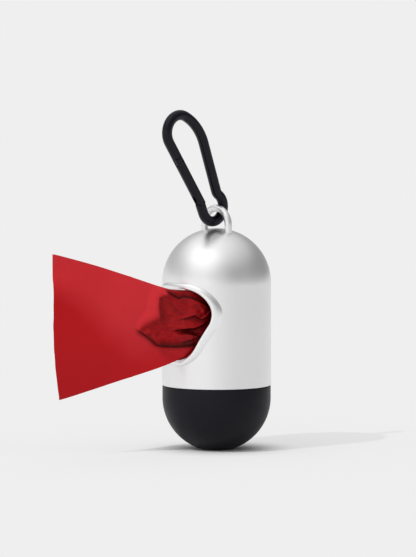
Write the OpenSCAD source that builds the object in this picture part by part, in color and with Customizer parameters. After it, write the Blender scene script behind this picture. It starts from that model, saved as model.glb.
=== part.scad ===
// Bag dispenser capsule: a domed shell with a dispensing opening, a screw cap, a roll of bags,
// a wire bail and a snap hook. Millimetres, Z up, origin in the middle of the flat under the cap.
// The opening faces -Y. The bail stands in the XZ plane and the hook hangs in the YZ plane.

/* [Capsule] */
// Outside diameter of the shell
body_d = 42; // [40:0.5:48]
// Height from the flat under the cap to the top of the dome
body_h = 85.3; // [84:0.1:96]
// Wall of the shell
shell_wall = 1.7; // [1.3:0.1:2.1]
// Height of the seam between shell and cap
seam_z = 24.8; // [24:0.1:27]
// Width of the seam
seam_gap = 0.15; // [0.1:0.05:0.3]
// Chamfer on the two edges of the seam
edge_break = 0.25; // [0.1:0.05:0.4]

/* [Screw cap] */
// How much smaller than the shell the cap is, in diameter
cap_step = 0.2; // [0.1:0.05:0.6]
// Wall of the cap
cap_wall = 1.6; // [1.4:0.1:1.9]
// Floor of the cap over the flat it stands on
cap_floor = 1.6; // [1.2:0.1:2.4]
// Diameter of the flat that the cap stands on
base_flat_d = 12; // [10:0.5:16]
// Height of the threaded neck under the shell
neck_h = 7.5; // [7:0.1:9]
// Wall of the neck under its thread
neck_wall = 1.15; // [0.9:0.05:1.4]
// Height of a thread ridge, square to the neck
thread_depth = 0.7; // [0.5:0.05:0.75]
// Gap between a thread's crest and the wall that it faces
thread_gap = 0.25; // [0.2:0.05:0.35]
// Climb of the thread in one turn
thread_lead = 6; // [5:0.1:7]
// Width of a thread ridge at its root
thread_root_w = 1.3; // [1.1:0.05:1.5]
// Width of a thread ridge at its crest
thread_crest_w = 0.7; // [0.5:0.05:0.9]
// Thickness of the liner ring in the cap's rim
liner_t = 0.6; // [0.4:0.05:1]
// Width of the liner ring
liner_w = 0.9; // [0.7:0.05:1]
// Play of the liner ring in its rebate
liner_play = 0.05; // [0.03:0.01:0.08]

/* [Dispensing opening] */
// Height of the centres of the two upper corners
open_z = 53.75; // [52:0.1:56]
// Radius of the two upper corners
open_corner_r = 8.9; // [8:0.1:9.5]
// Distance of the upper corners' centres from the middle
open_corner_x = 5.1; // [4:0.1:5.6]
// Radius of the lower tip
open_tip_r = 9.3; // [8.5:0.1:10]
// Distance of the tip's centre below the upper corners' centres
open_tip_drop = 8.65; // [8:0.1:10]
// Width of the bezel's lip
lip_w = 2.6; // [2:0.1:3]
// How far the lip stands out of the shell
lip_h = 1.2; // [0.8:0.05:1.5]
// Wall of the bezel's sleeve through the shell
sleeve_t = 1; // [0.8:0.05:1.2]
// Play between sleeve and shell
sleeve_play = 0.05; // [0.03:0.01:0.1]
// How far the sleeve reaches past the inside of the shell
sleeve_reach = 0.5; // [0.4:0.05:0.8]
// How far a snap barb catches behind the shell
barb_catch = 0.6; // [0.4:0.05:0.8]
// Height of a snap barb
barb_h = 6; // [4:0.5:8]

/* [Bail] */
// Diameter of the bail's wire
bail_wire_d = 2.55; // [2.2:0.05:2.8]
// Distance between the middles of the two legs
bail_span = 13; // [12.4:0.1:15]
// Height of the bail above the dome
bail_rise = 9.05; // [8.9:0.05:11]
// Play of a leg in the dome
bail_play = 0.05; // [0.03:0.01:0.1]
// Diameter of the plate that holds the legs
retainer_d = 19; // [18:0.5:21]
// Thickness of that plate
retainer_t = 2; // [1.5:0.1:3]
// How far the legs reach below that plate
leg_end = 0.8; // [0.5:0.1:1.5]

/* [Roll of bags] */
// Diameter of the roll
roll_d = 28; // [25:0.5:30]
// Width of the roll
roll_h = 57; // [54:0.5:59]
// Outside diameter of the core
core_d = 14; // [12:0.5:16]
// Wall of the core
core_wall = 0.8; // [0.6:0.1:1.2]
// Play of the roll on the core
core_play = 0.03; // [0.02:0.01:0.05]
// Play of the roll above the cap
roll_play = 0.3; // [0.2:0.05:0.4]

/* [Pulled bag] */
// Thickness of the folded film
bag_t = 0.6; // [0.4:0.05:0.8]
// Play of the film off the roll
bag_play = 0.3; // [0.25:0.05:0.4]
// Turn of the film from straight out, towards -X
bag_turn = 30; // [26:1:33]
// Length of the bag from the roll to its far edge
bag_reach = 68.6; // [60:0.1:75]
// Width of the bag at its far edge
bag_w = 54.6; // [48:0.1:57]
// Play of the film in the opening, above and below
bag_slot_play = 1; // [0.8:0.1:2]
// Height of the middle of the far edge
bag_mid_z = 50; // [46:0.5:54]
// How far the far edge slants back at its lower corner
bag_slant = 2.3; // [0:0.1:4]

/* [Snap hook] */
// Diameter of the hook's rod
rod_d = 3.9; // [3.6:0.1:4]
// Radius of the eye at the rod's middle
eye_r = 5.5; // [5.3:0.1:5.7]
// Play between the eye and the bail
link_play = 0.15; // [0.1:0.05:0.3]
// Lean of the hook towards the opening
hook_lean = 27.6; // [20:0.1:30]
// Direction from the bail's wire to the middle of the eye
link_dir = 166; // [160:1:172]
// Middle of the small top bend, across and along the hook
top_bend = [-1.9, 34.4]; // [-3:0.1:36]
// Radius of the small top bend
top_bend_r = 6.67; // [6:0.05:7.4]
// Radius of the long side bend
side_bend_r = 19.2; // [17:0.1:22]
// A point on the straight back leg, at the neck
back_neck = [4.75, 6.9]; // [4:0.05:7.5]
// Lean of the back leg
back_lean = 8; // [7:0.1:9]
// Radius of the bend from the back leg into the eye
neck_bend_r = 3; // [2:0.1:4]

/* [Gate] */
// Diameter of the gate
gate_d = 3.6; // [3.4:0.05:3.7]
// Place of the gate's pivot, across and along the hook
pivot = [-5.1, 5.95]; // [-5.4:0.05:6.2]
// Length of the gate from its pivot to its tip
gate_len = 20.9; // [19:0.1:22]
// Gap between the gate's tip and the nose
nose_gap = 0.25; // [0.2:0.05:0.35]
// Gap between the gate's knuckle and the tail
tail_gap = 0.12; // [0.1:0.01:0.2]
// Diameter of the pivot pin
pivot_pin_d = 1.1; // [1:0.05:1.2]
// Diameter of the latch pin
latch_pin_d = 1; // [0.9:0.05:1.1]
// Play of a pin in a moving hole
pin_play = 0.04; // [0.03:0.01:0.06]
// Thickness of the tongues on tail and nose
tongue_t = 1.3; // [1.1:0.05:1.4]
// Play of a tongue in its slot, each side
tongue_play = 0.1; // [0.08:0.01:0.15]
// Depth of the slot at the pivot, above the pin
pivot_slot = 3.2; // [3:0.1:3.6]
// Depth of the slot at the tip
tip_slot = 3.3; // [3.2:0.05:3.6]
// Distance of the latch pin below the tip
latch_drop = 1.7; // [1.6:0.05:1.8]
// Play of the latch pin in its notch
latch_play = 0.15; // [0.12:0.01:0.2]
// Diameter of the bore for the spring
bore_d = 2.2; // [2:0.05:2.3]
// Depth of that bore above the pivot
bore_end = 13; // [11:0.1:15]
// Radius of the cam on the tail
cam_r = 1.3; // [1.25:0.01:1.35]
// Distance of the cam's middle from the pivot
cam_off = 0.5; // [0.4:0.02:0.55]
// How far the cam's middle starts below the level of the pivot, in degrees
cam_start = 8; // [6:1:10]
// Play between the cam and the plunger
cam_play = 0.03; // [0.02:0.01:0.05]
// Length of the plunger
plunger_l = 1.7; // [1.4:0.1:2]
// Play of plunger and spring in the bore
bore_play = 0.08; // [0.06:0.01:0.12]
// Room for the plunger's stroke below the spring
spring_room = 0.22; // [0.2:0.01:0.3]
// Diameter of the spring's wire
spring_wire_d = 0.36; // [0.3:0.01:0.38]
// Turns of the spring
spring_turns = 11; // [9:1:12]

/* [Hidden] */
$fn = 96;

// Joints between the stretches of a bent rod: each stretch stops short and a ball bridges the gap
joint_gap = 0.15;
joint_lip = 0.02;

// Capsule
body_r = body_d / 2;
shell_in_r = body_r - shell_wall;
dome_z = body_h - body_r;
cap_r = body_r - cap_step / 2;
cap_in_r = cap_r - cap_wall;
cap_ball_z = sqrt(pow(cap_r, 2) - pow(base_flat_d / 2, 2));
rim_z = seam_z - seam_gap;

// Neck and thread
neck_r = cap_in_r - thread_gap - thread_depth;
neck_in_r = neck_r - neck_wall;
neck_z = seam_z - neck_h;
thread_margin = 0.95;                  // bare neck above and below the thread
thread_sink = 0.3;                     // how deep a ridge's root sits in its wall
thread_step = 7.5;                     // degrees between two rings of a ridge
thread_climb = neck_h - 2 * thread_margin - thread_root_w;
thread_turn = thread_climb / thread_lead * 360;
thread_z = neck_z + thread_margin + thread_root_w / 2;

// Liner ring
liner_in_r = cap_in_r + liner_play;
liner_out_r = liner_in_r + liner_w;
liner_top_z = seam_z - liner_play / 2;
liner_z = liner_top_z - liner_t;

// Opening and bezel
tip_z = open_z - open_tip_drop;
open_side_a = atan2(open_tip_drop, open_corner_x)
    - acos((open_tip_r - open_corner_r) / norm([open_corner_x, open_tip_drop]));
lip_seat = 0.02;                       // the lip lies this far off the shell
lip_steps = 3;
arc_steps = 24;                        // sides in each arc of the outline
opening_in_y = shell_in_r / 2;         // the outline's prism starts this far in front of the axis

// Bail
bail_r = bail_span / 2;
bail_wire_r = bail_wire_d / 2;
bail_z = body_h + bail_rise - bail_wire_r;
retainer_seat = 0.05;
retainer_top_z = dome_z + sqrt(pow(shell_in_r, 2) - pow(retainer_d / 2 + retainer_seat, 2));
retainer_z = retainer_top_z - retainer_t;

// Roll and film
roll_r = roll_d / 2;
roll_rest_z = cap_ball_z - sqrt(pow(cap_in_r, 2) - pow(roll_r, 2));
roll_z = max(roll_rest_z, cap_floor) + roll_play;
film_off = roll_r + bag_play + bag_t / 2;
lip_out_r = body_r + lip_h;
fan_start = sqrt(pow(lip_out_r + 0.3, 2) - pow(film_off, 2));
film_x = [for (r = [shell_in_r - sleeve_reach, lip_out_r])
    film_off * cos(bag_turn) - sqrt(pow(r, 2) - pow(film_off, 2)) * sin(bag_turn)];
film_top = min([for (x = film_x) open_top(x)]) - bag_slot_play;
film_low = max([for (x = film_x) open_low(x)]) + bag_slot_play;

// Hook
rod_r = rod_d / 2;
gate_r = gate_d / 2;
link_off = eye_r - rod_r - bail_wire_r - link_play;
eye_y = link_off * cos(link_dir);
eye_z = bail_z + link_off * sin(link_dir);
back_dir = [sin(back_lean), cos(back_lean)];
back_in = [-cos(back_lean), sin(back_lean)];
side_q = back_neck + side_bend_r * back_in - top_bend;
side_t = -side_q * back_dir
    - sqrt(pow(side_q * back_dir, 2) - side_q * side_q + pow(side_bend_r - top_bend_r, 2));
back_top = back_neck + side_t * back_dir;
side_bend = back_top + side_bend_r * back_in;
side_end_a = angle_of(top_bend - side_bend);
neck_q = back_neck - neck_bend_r * back_in;
neck_t = -neck_q * back_dir
    + sqrt(pow(neck_q * back_dir, 2) - neck_q * neck_q + pow(eye_r + neck_bend_r, 2));
neck_bend = neck_q + neck_t * back_dir;
neck_a = angle_of(neck_bend);
back_low = neck_bend + neck_bend_r * back_in;
to_pivot = pivot - top_bend;
top_end_a = 360 + angle_of(to_pivot) - acos(top_bend_r / norm(to_pivot));
front_top = top_bend + top_bend_r * [cos(top_end_a), sin(top_end_a)];
front_dir = (front_top - pivot) / norm(front_top - pivot);
nose_end = pivot + (gate_len + nose_gap) * front_dir;
tail_a = angle_of(pivot) + acos(eye_r / norm(pivot));
tail_start = eye_r * [cos(tail_a), sin(tail_a)];
tail_dir = (pivot - tail_start) / norm(pivot - tail_start);

// Gate
knuckle_r = gate_r + tail_gap;
horn = 1.2;                            // the tail's horns end this far below the pivot
slot_w = tongue_t + 2 * tongue_play;
cam_mid = cam_off * [cos(cam_start), -sin(cam_start)];
plunger_z = cam_mid[1] + cam_r + cam_play;
spring_z = plunger_z + plunger_l + spring_room;
spring_r = bore_d / 2 - bore_play - spring_wire_d / 2;
spring_len = bore_end - spring_z - spring_wire_d;
hook_tip_t = 0.75;                     // the nose's hook below the latch pin
tongue_w = 2.6;                        // width of the nose's tongue

function angle_of(v) = atan2(v[1], v[0]);

// Height of the opening's upper and lower edge at x
function open_top(x) = open_z + (abs(x) < open_corner_x ? open_corner_r
    : sqrt(pow(open_corner_r, 2) - pow(abs(x) - open_corner_x, 2)));
function open_low(x) = abs(x) < open_tip_r * cos(open_side_a)
    ? tip_z - sqrt(pow(open_tip_r, 2) - pow(x, 2))
    : tip_z + open_tip_r * sin(open_side_a)
        + (abs(x) - open_tip_r * cos(open_side_a)) / -tan(open_side_a);

// Points along an arc, both ends included
function arc_points(mid, r, from_a, to_a) = [for (i = [0 : arc_steps])
    let (a = from_a + (to_a - from_a) * i / arc_steps)
    [mid[0] + r * cos(a), mid[1] + r * sin(a)]];

// The opening's outline, grown outwards: two corner arcs and the tip's arc, which meet in tangents
module opening_outline(grow) {
    corner_r = open_corner_r + grow;
    polygon(concat(
        arc_points([open_corner_x, open_z], corner_r, open_side_a, 90),
        arc_points([-open_corner_x, open_z], corner_r, 90, 180 - open_side_a),
        arc_points([0, tip_z], open_tip_r + grow, 180 - open_side_a, 360 + open_side_a)));
}

// That outline as a prism along -Y, through the front wall
module opening_prism(grow) {
    translate([0, -opening_in_y, 0])
        rotate([90, 0, 0])
            linear_extrude(body_r)
                opening_outline(grow);
}

// A round tube around Z, as tall as the opening needs
module round_band(r_in, r_out) {
    difference() {
        translate([0, 0, seam_z])
            cylinder(h = body_h - seam_z, r = r_out);
        translate([0, 0, seam_z - 1])
            cylinder(h = body_h - seam_z + 2, r = r_in);
    }
}

// The part of a band that lies between two outlines
module lip_ring(r_in, r_out, grow_in, grow_out) {
    difference() {
        intersection() {
            round_band(r_in, r_out);
            opening_prism(grow_out);
        }
        opening_prism(grow_in);
    }
}

// One helical ridge: section points [radius, height] swept up the thread's helix
module thread_ridge(section, start_a) {
    rings = ceil(thread_turn / thread_step);
    count = len(section);
    points = [for (i = [0 : rings]) for (p = section)
        let (a = start_a + thread_turn * i / rings)
        [p[0] * cos(a), p[0] * sin(a), thread_z + p[1] + thread_climb * i / rings]];
    sides = [for (i = [0 : rings - 1]) for (k = [0 : count - 1])
        let (a = i * count + k, b = i * count + (k + 1) % count)
        each [[a, b, b + count], [a, b + count, a + count]]];
    first = [for (k = [count - 1 : -1 : 0]) k];
    last = [for (k = [0 : count - 1]) rings * count + k];
    polyhedron(points, concat(sides, [first, last]), convexity = 4);
}

// Section of a ridge that stands out from radius root to radius crest, either way
function ridge_section(root, crest) =
    let (out = crest > root ? 1 : -1,
        r = root - out * thread_sink,
        w = thread_root_w / 2,
        c = thread_crest_w / 2)
    out > 0 ? [[r, -w], [crest, -c], [crest, c], [r, w]]
        : [[crest, -c], [r, -w], [r, w], [crest, c]];

module shell() {
    color([0.86, 0.86, 0.87])
        difference() {
            union() {
                translate([0, 0, dome_z])
                    sphere(r = body_r);
                rotate_extrude()
                    polygon([[0, seam_z], [body_r - edge_break, seam_z],
                        [body_r, seam_z + edge_break], [body_r, dome_z], [0, dome_z]]);
                translate([0, 0, neck_z])
                    cylinder(h = neck_h, r = neck_r);
                for (start = [0, 180])
                    thread_ridge(ridge_section(neck_r, neck_r + thread_depth), start);
            }
            shell_hollow();
            opening_prism(sleeve_t + sleeve_play);
            for (side = [-1, 1])
                translate([side * bail_r, 0, dome_z])
                    cylinder(h = body_r, r = bail_wire_r + bail_play);
        }
}

// The room for the roll, narrower inside the neck
module shell_hollow() {
    cone_z = seam_z + shell_wall;
    cone_h = shell_in_r - neck_in_r;
    translate([0, 0, dome_z])
        sphere(r = shell_in_r);
    translate([0, 0, cone_z + cone_h])
        cylinder(h = dome_z - cone_z - cone_h, r = shell_in_r);
    translate([0, 0, cone_z])
        cylinder(h = cone_h, r1 = neck_in_r, r2 = shell_in_r);
    translate([0, 0, neck_z - 1])
        cylinder(h = cone_z - neck_z + 1, r = neck_in_r);
}

module bail() {
    leg_z = retainer_z - leg_end;
    leg_top_z = bail_z - bail_r;
    trim_a = asin(joint_gap / bail_r);
    color([0.80, 0.80, 0.81])
        union() {
            translate([0, 0, leg_top_z])
                rotate([90, -trim_a, 0])
                    rotate_extrude(angle = 180 - 2 * trim_a)
                        translate([bail_r, 0])
                            circle(r = bail_wire_r);
            for (side = [-1, 1]) {
                translate([side * bail_r, 0, leg_z])
                    cylinder(h = leg_top_z - joint_gap - leg_z, r = bail_wire_r);
                translate([side * bail_r, 0, leg_top_z])
                    sphere(r = bail_wire_r + joint_lip);
            }
        }
}

module bail_retainer() {
    color([0.62, 0.62, 0.63])
        difference() {
            translate([0, 0, retainer_z])
                cylinder(h = retainer_t, d = retainer_d);
            for (side = [-1, 1])
                translate([side * bail_r, 0, retainer_z - 1])
                    cylinder(h = retainer_t + 2, r = bail_wire_r);
        }
}

// Lip in steps that follow a quarter ellipse on both sides of its ridge, and a sleeve with two barbs
module opening_bezel() {
    sleeve_in_r = shell_in_r - sleeve_reach;
    color([0.93, 0.93, 0.94])
        union() {
            for (i = [0 : lip_steps - 1]) {
                low = i / lip_steps;
                draw = lip_w / 2 * (1 - sqrt(1 - pow(low, 2)));
                lip_ring(body_r + lip_seat + (lip_h - lip_seat) * low,
                    body_r + lip_seat + (lip_h - lip_seat) * (i + 1) / lip_steps,
                    draw, lip_w - draw);
            }
            lip_ring(sleeve_in_r, body_r + lip_seat, 0, sleeve_t);
            snap_barbs(sleeve_in_r);
        }
}

// The two barbs behind the shell, at the sides of the opening
module snap_barbs(r_in) {
    intersection() {
        round_band(r_in, shell_in_r - lip_seat);
        translate([0, -opening_in_y, 0])
            rotate([90, 0, 0])
                linear_extrude(body_r)
                    intersection() {
                        difference() {
                            opening_outline(sleeve_t + barb_catch);
                            opening_outline(sleeve_t / 2);
                        }
                        translate([-body_r, open_z - barb_h / 2])
                            square([body_d, barb_h]);
                    }
    }
}

module end_cap() {
    color([0.13, 0.13, 0.14])
        difference() {
            union() {
                difference() {
                    union() {
                        intersection() {
                            translate([0, 0, cap_ball_z])
                                sphere(r = cap_r);
                            cylinder(h = cap_ball_z, r = body_r);
                        }
                        rotate_extrude()
                            polygon([[0, cap_ball_z], [cap_r, cap_ball_z],
                                [cap_r, rim_z - edge_break], [cap_r - edge_break, rim_z],
                                [0, rim_z]]);
                    }
                    cap_hollow();
                }
                for (start = [90, 270])
                    thread_ridge(ridge_section(cap_in_r, cap_in_r - thread_depth), start);
            }
            translate([0, 0, liner_z - liner_play / 2])
                cylinder(h = liner_t + 1, r = liner_out_r + liner_play);
        }
}

module cap_hollow() {
    intersection() {
        translate([0, 0, cap_ball_z])
            sphere(r = cap_in_r);
        translate([0, 0, cap_floor])
            cylinder(h = cap_ball_z - cap_floor, r = cap_in_r + 1);
    }
    translate([0, 0, cap_ball_z])
        cylinder(h = rim_z - cap_ball_z + 1, r = cap_in_r);
}

module cap_liner() {
    color([0.30, 0.30, 0.31])
        translate([0, 0, liner_z])
            difference() {
                cylinder(h = liner_t, r = liner_out_r);
                translate([0, 0, -1])
                    cylinder(h = liner_t + 2, r = liner_in_r);
            }
}

module bag_roll() {
    color([0.62, 0.08, 0.10])
        translate([0, 0, roll_z])
            difference() {
                cylinder(h = roll_h, r = roll_r);
                translate([0, 0, -1])
                    cylinder(h = roll_h + 2, r = core_d / 2 + core_play);
            }
}

module roll_core() {
    color([0.72, 0.60, 0.45])
        translate([0, 0, roll_z])
            difference() {
                cylinder(h = roll_h, r = core_d / 2);
                translate([0, 0, -1])
                    cylinder(h = roll_h + 2, r = core_d / 2 - core_wall);
            }
}

// Folded film: a ribbon off the roll as high as the opening lets through, then a fan outside
module pulled_bag() {
    far_low = bag_mid_z - bag_w / 2;
    far_top = bag_mid_z + bag_w / 2;
    color([0.72, 0.12, 0.15])
        rotate([0, 0, -90 - bag_turn])
            translate([0, film_off + bag_t / 2, 0])
                rotate([90, 0, 0])
                    linear_extrude(bag_t)
                        polygon([[0, film_low], [fan_start, film_low],
                            [bag_reach - bag_slant, far_low],
                            [bag_reach, bag_mid_z],
                            [bag_reach - bag_slant / 8, far_top],
                            [fan_start, film_top], [0, film_top]]);
}

// Puts the hook's own plane, across and along, into the YZ plane at its lean
module hook_frame() {
    translate([0, eye_y, eye_z])
        rotate([hook_lean, 0, 0])
            rotate([90, 0, 90])
                children();
}

// Gate frame: X towards the inside of the hook, Y up the gate, origin at its pivot
module gate_frame() {
    hook_frame()
        translate([pivot[0], pivot[1], 0])
            rotate([0, 0, angle_of(front_dir) - 90])
                children();
}

// A bend of the hook's rod, short of its joints at both ends, with a ball on its first end
module rod_arc(mid, r, from_a, to_a) {
    trim_a = asin(joint_gap / r);
    translate([mid[0], mid[1], 0])
        rotate([0, 0, from_a + trim_a])
            rotate_extrude(angle = to_a - from_a - 2 * trim_a)
                translate([r, 0])
                    circle(r = rod_r);
    joint_ball(mid + r * [cos(from_a), sin(from_a)], from_a + 90);
}

// A straight stretch of the hook's rod, short of its joint at one end or both
module rod_line(from, to, free_end) {
    length = norm(to - from);
    translate([from[0], from[1], 0])
        rotate([0, 0, angle_of(to - from)])
            translate([joint_gap, 0, 0])
                rotate([0, 90, 0])
                    cylinder(h = length - (free_end ? 1 : 2) * joint_gap, r = rod_r);
}

// Its poles lie along the rod, inside the two stretches that it joins
module joint_ball(at, along) {
    translate([at[0], at[1], 0])
        rotate([0, 90, along])
            sphere(r = rod_r + joint_lip);
}

// A round pin square to the hook's plane
module cross_pin(d, h) {
    cylinder(h = h, d = d, center = true);
}

module carabiner_body() {
    color([0.12, 0.12, 0.13])
        union() {
            hook_frame()
                union() {
                    rod_arc([0, 0], eye_r, tail_a, 360 + neck_a);
                    joint_ball(eye_r * [cos(neck_a), sin(neck_a)], neck_a + 90);
                    rod_arc(neck_bend, neck_bend_r, 180 - back_lean, 180 + neck_a);
                    rod_line(back_low, back_top, false);
                    rod_arc(side_bend, side_bend_r, -back_lean, side_end_a);
                    rod_arc(top_bend, top_bend_r, side_end_a, top_end_a);
                    joint_ball(front_top, top_end_a + 90);
                    rod_line(front_top, nose_end, true);
                }
            nose_tongue();
            tail_end();
        }
}

// Flat tongue under the nose with a notch that is open to the inside, for the latch pin
module nose_tongue() {
    notch_r = latch_pin_d / 2 + latch_play;
    notch_y = gate_len - latch_drop;
    low = notch_y - notch_r - hook_tip_t;
    gate_frame()
        difference() {
            translate([-tongue_w / 2, low, -tongue_t / 2])
                cube([tongue_w, gate_len + nose_gap + 1 - low, tongue_t]);
            translate([0, notch_y, 0])
                cross_pin(2 * notch_r, rod_d);
            translate([0, notch_y - notch_r, -rod_r])
                cube([rod_d, 2 * notch_r, rod_d]);
        }
}

// End of the tail: a hollow seat for the gate's knuckle and a tongue with the cam for the plunger
module tail_end() {
    hook_frame()
        difference() {
            rod_line(tail_start, pivot - horn * tail_dir, true);
            translate([pivot[0], pivot[1], 0])
                cross_pin(2 * knuckle_r, rod_d + 1);
        }
    difference() {
        union() {
            hook_frame()
                translate([pivot[0], pivot[1], 0])
                    rotate([0, 0, angle_of(tail_dir) - 90])
                        translate([-cam_r, -knuckle_r - 1, -tongue_t / 2])
                            cube([2 * cam_r, knuckle_r + 1, tongue_t]);
            gate_frame()
                translate([cam_mid[0], cam_mid[1], 0])
                    cross_pin(2 * cam_r, tongue_t);
        }
        gate_frame()
            cross_pin(pivot_pin_d, rod_d);
    }
}

module carabiner_gate() {
    tip_y = gate_len;
    color([0.13, 0.13, 0.14])
        gate_frame()
            difference() {
                union() {
                    rotate([-90, 0, 0])
                        cylinder(h = tip_y, r = gate_r);
                    sphere(r = gate_r);
                }
                translate([-gate_d, -gate_d, -slot_w / 2])
                    cube([2 * gate_d, gate_d + pivot_slot, slot_w]);
                translate([-gate_d, tip_y - tip_slot, -slot_w / 2])
                    cube([2 * gate_d, tip_slot + 1, slot_w]);
                rotate([-90, 0, 0])
                    cylinder(h = bore_end, d = bore_d);
                cross_pin(pivot_pin_d + 2 * pin_play, gate_d + 1);
                translate([0, tip_y - latch_drop, 0])
                    cross_pin(latch_pin_d, gate_d + 1);
            }
}

module gate_pin() {
    color([0.55, 0.55, 0.57])
        gate_frame()
            cross_pin(pivot_pin_d, gate_d - 0.1);
}

module latch_pin() {
    color([0.55, 0.55, 0.57])
        gate_frame()
            translate([0, gate_len - latch_drop, 0])
                cross_pin(latch_pin_d, gate_d - 0.3);
}

module spring_plunger() {
    color([0.70, 0.70, 0.72])
        gate_frame()
            translate([0, plunger_z, 0])
                rotate([-90, 0, 0])
                    cylinder(h = plunger_l, r = bore_d / 2 - bore_play);
}

// Coil of round wire: rings of six points along a helix
module gate_spring() {
    per_turn = 8;
    sides = 6;
    rings = spring_turns * per_turn;
    rise = atan2(spring_len / spring_turns, 2 * PI * spring_r);
    points = [for (i = [0 : rings]) for (k = [0 : sides - 1])
        let (a = 360 * i / per_turn,
            b = 360 * k / sides,
            out = spring_wire_d / 2 * cos(b),
            up = spring_wire_d / 2 * sin(b),
            y = spring_z + spring_wire_d / 2 + spring_len * i / rings)
        [(spring_r + out) * cos(a) + up * sin(rise) * sin(a),
            y + up * cos(rise),
            -(spring_r + out) * sin(a) + up * sin(rise) * cos(a)]];
    walls = [for (i = [0 : rings - 1]) for (k = [0 : sides - 1])
        let (p = i * sides + k, q = i * sides + (k + 1) % sides)
        each [[p, q, q + sides], [p, q + sides, p + sides]]];
    first = [for (k = [sides - 1 : -1 : 0]) k];
    last = [for (k = [0 : sides - 1]) rings * sides + k];
    color([0.70, 0.70, 0.72])
        gate_frame()
            polyhedron(points, concat(walls, [first, last]), convexity = 8);
}

shell();
bail();
bail_retainer();
opening_bezel();
end_cap();
cap_liner();
bag_roll();
roll_core();
pulled_bag();
carabiner_body();
carabiner_gate();
gate_pin();
latch_pin();
gate_spring();
spring_plunger();
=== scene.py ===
"""Looks for a bag dispenser capsule: lacquered shell, moulded cap, red film and snap hook.

Every length is in metres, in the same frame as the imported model: Z up, the opening towards -Y.
"""

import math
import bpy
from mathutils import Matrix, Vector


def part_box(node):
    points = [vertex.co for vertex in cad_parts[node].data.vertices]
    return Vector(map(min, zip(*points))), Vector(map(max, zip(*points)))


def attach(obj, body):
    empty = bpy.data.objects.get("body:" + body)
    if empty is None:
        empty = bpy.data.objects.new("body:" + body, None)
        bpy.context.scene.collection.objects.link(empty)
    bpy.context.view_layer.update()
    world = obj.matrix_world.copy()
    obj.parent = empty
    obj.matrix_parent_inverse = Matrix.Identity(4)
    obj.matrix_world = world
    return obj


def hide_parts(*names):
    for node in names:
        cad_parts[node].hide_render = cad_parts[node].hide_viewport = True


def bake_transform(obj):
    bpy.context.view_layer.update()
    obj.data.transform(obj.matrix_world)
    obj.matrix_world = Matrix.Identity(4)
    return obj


bl_info = {
    "name": "Bag dispenser capsule",
    "version": (1, 0, 0),
    "blender": (4, 5, 0),
    "location": "3D View > Sidebar > Capsule",
    "description": "Dresses the packed capsule, its roll of bags and its snap hook",
    "category": "Object",
}

import bmesh
import bpy
import numpy as np
from bpy.props import FloatProperty, FloatVectorProperty, IntProperty, PointerProperty
from mathutils import Matrix, Vector, noise

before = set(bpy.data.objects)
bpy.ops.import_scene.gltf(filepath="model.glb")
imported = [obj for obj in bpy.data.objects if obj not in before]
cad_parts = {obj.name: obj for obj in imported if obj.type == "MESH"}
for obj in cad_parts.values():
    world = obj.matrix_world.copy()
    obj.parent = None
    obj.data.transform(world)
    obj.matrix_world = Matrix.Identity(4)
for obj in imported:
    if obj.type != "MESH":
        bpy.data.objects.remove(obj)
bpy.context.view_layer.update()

MM = 0.001
shell_low, shell_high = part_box("shell")
_, cap_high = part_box("end_cap")
roll_low, roll_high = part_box("bag_roll")
bail_low, bail_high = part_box("bail")
_, spring_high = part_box("gate_spring")


def length(label, value, about):
    """A length that a user can set, in metres."""
    return FloatProperty(
        name=label, description=about, default=value, min=0.0, precision=5, unit="LENGTH"
    )


def angle(label, degrees, about):
    """An angle that a user can set."""
    return FloatProperty(
        name=label, description=about, default=math.radians(degrees), unit="ROTATION"
    )


def colour(label, value, about):
    """A linear colour that a user can set."""
    return FloatVectorProperty(
        name=label, description=about, default=value, size=3, min=0.0, max=1.0, subtype="COLOR"
    )


class CapsuleSizes(bpy.types.PropertyGroup):
    """Sizes of the shell, its cap and its lip"""

    radius: length("Radius", shell_high.x, "Outside radius of the shell")
    top: length("Top", shell_high.z, "Height of the top of the dome")
    wall: length("Wall", 1.7 * MM, "Wall of the shell")
    neck_low: length("Neck end", shell_low.z, "Height of the neck's lower end")
    neck_radius: length("Neck", 18.35 * MM, "Outside radius of the threaded neck")
    neck_wall: length("Neck wall", 1.15 * MM, "Wall of the threaded neck")
    seam: length("Seam", 24.8 * MM, "Height of the shell's lower edge")
    edge: length("Edge", 0.25 * MM, "Rounding of the seam's two edges")
    cap_radius: length("Cap radius", cap_high.x, "Outside radius of the cap")
    cap_rim: length("Cap rim", cap_high.z, "Height of the cap's rim")
    cap_wall: length("Cap wall", 1.6 * MM, "Wall and floor of the cap")
    cap_flat: length("Cap flat", 6.0 * MM, "Radius of the flat under the cap")
    thread_lead: length("Thread lead", 6.0 * MM, "Climb of the thread in one turn")
    thread_turns: FloatProperty(
        name="Thread turns", description="Turns of each thread ridge", default=0.7167, min=0.1
    )
    thread_depth: length("Thread depth", 0.7 * MM, "Height of a thread ridge")
    lip_width: length("Lip width", 2.6 * MM, "Width of the lip around the opening")
    lip_height: length("Lip height", 1.2 * MM, "How far the lip stands out of the shell")


class HookSizes(bpy.types.PropertyGroup):
    """Sizes of the bail and the snap hook"""

    wire: length("Bail wire", 1.39 * MM, "Radius of the bail's wire")
    bail_radius: length("Bail radius", 6.5 * MM, "Radius of the bail at the wire's middle")
    rod: length("Rod", 1.97 * MM, "Radius of the hook's rod")
    gate: length("Gate", 1.95 * MM, "Radius of the hook's gate")
    gate_length: length("Gate length", 20.9 * MM, "Length of the gate from its pivot")
    lean: angle("Lean", 27.6, "Lean of the hook towards the opening")
    spring_turns: IntProperty(
        name="Spring turns", description="Turns of the gate's spring", default=11, min=3
    )


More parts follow.
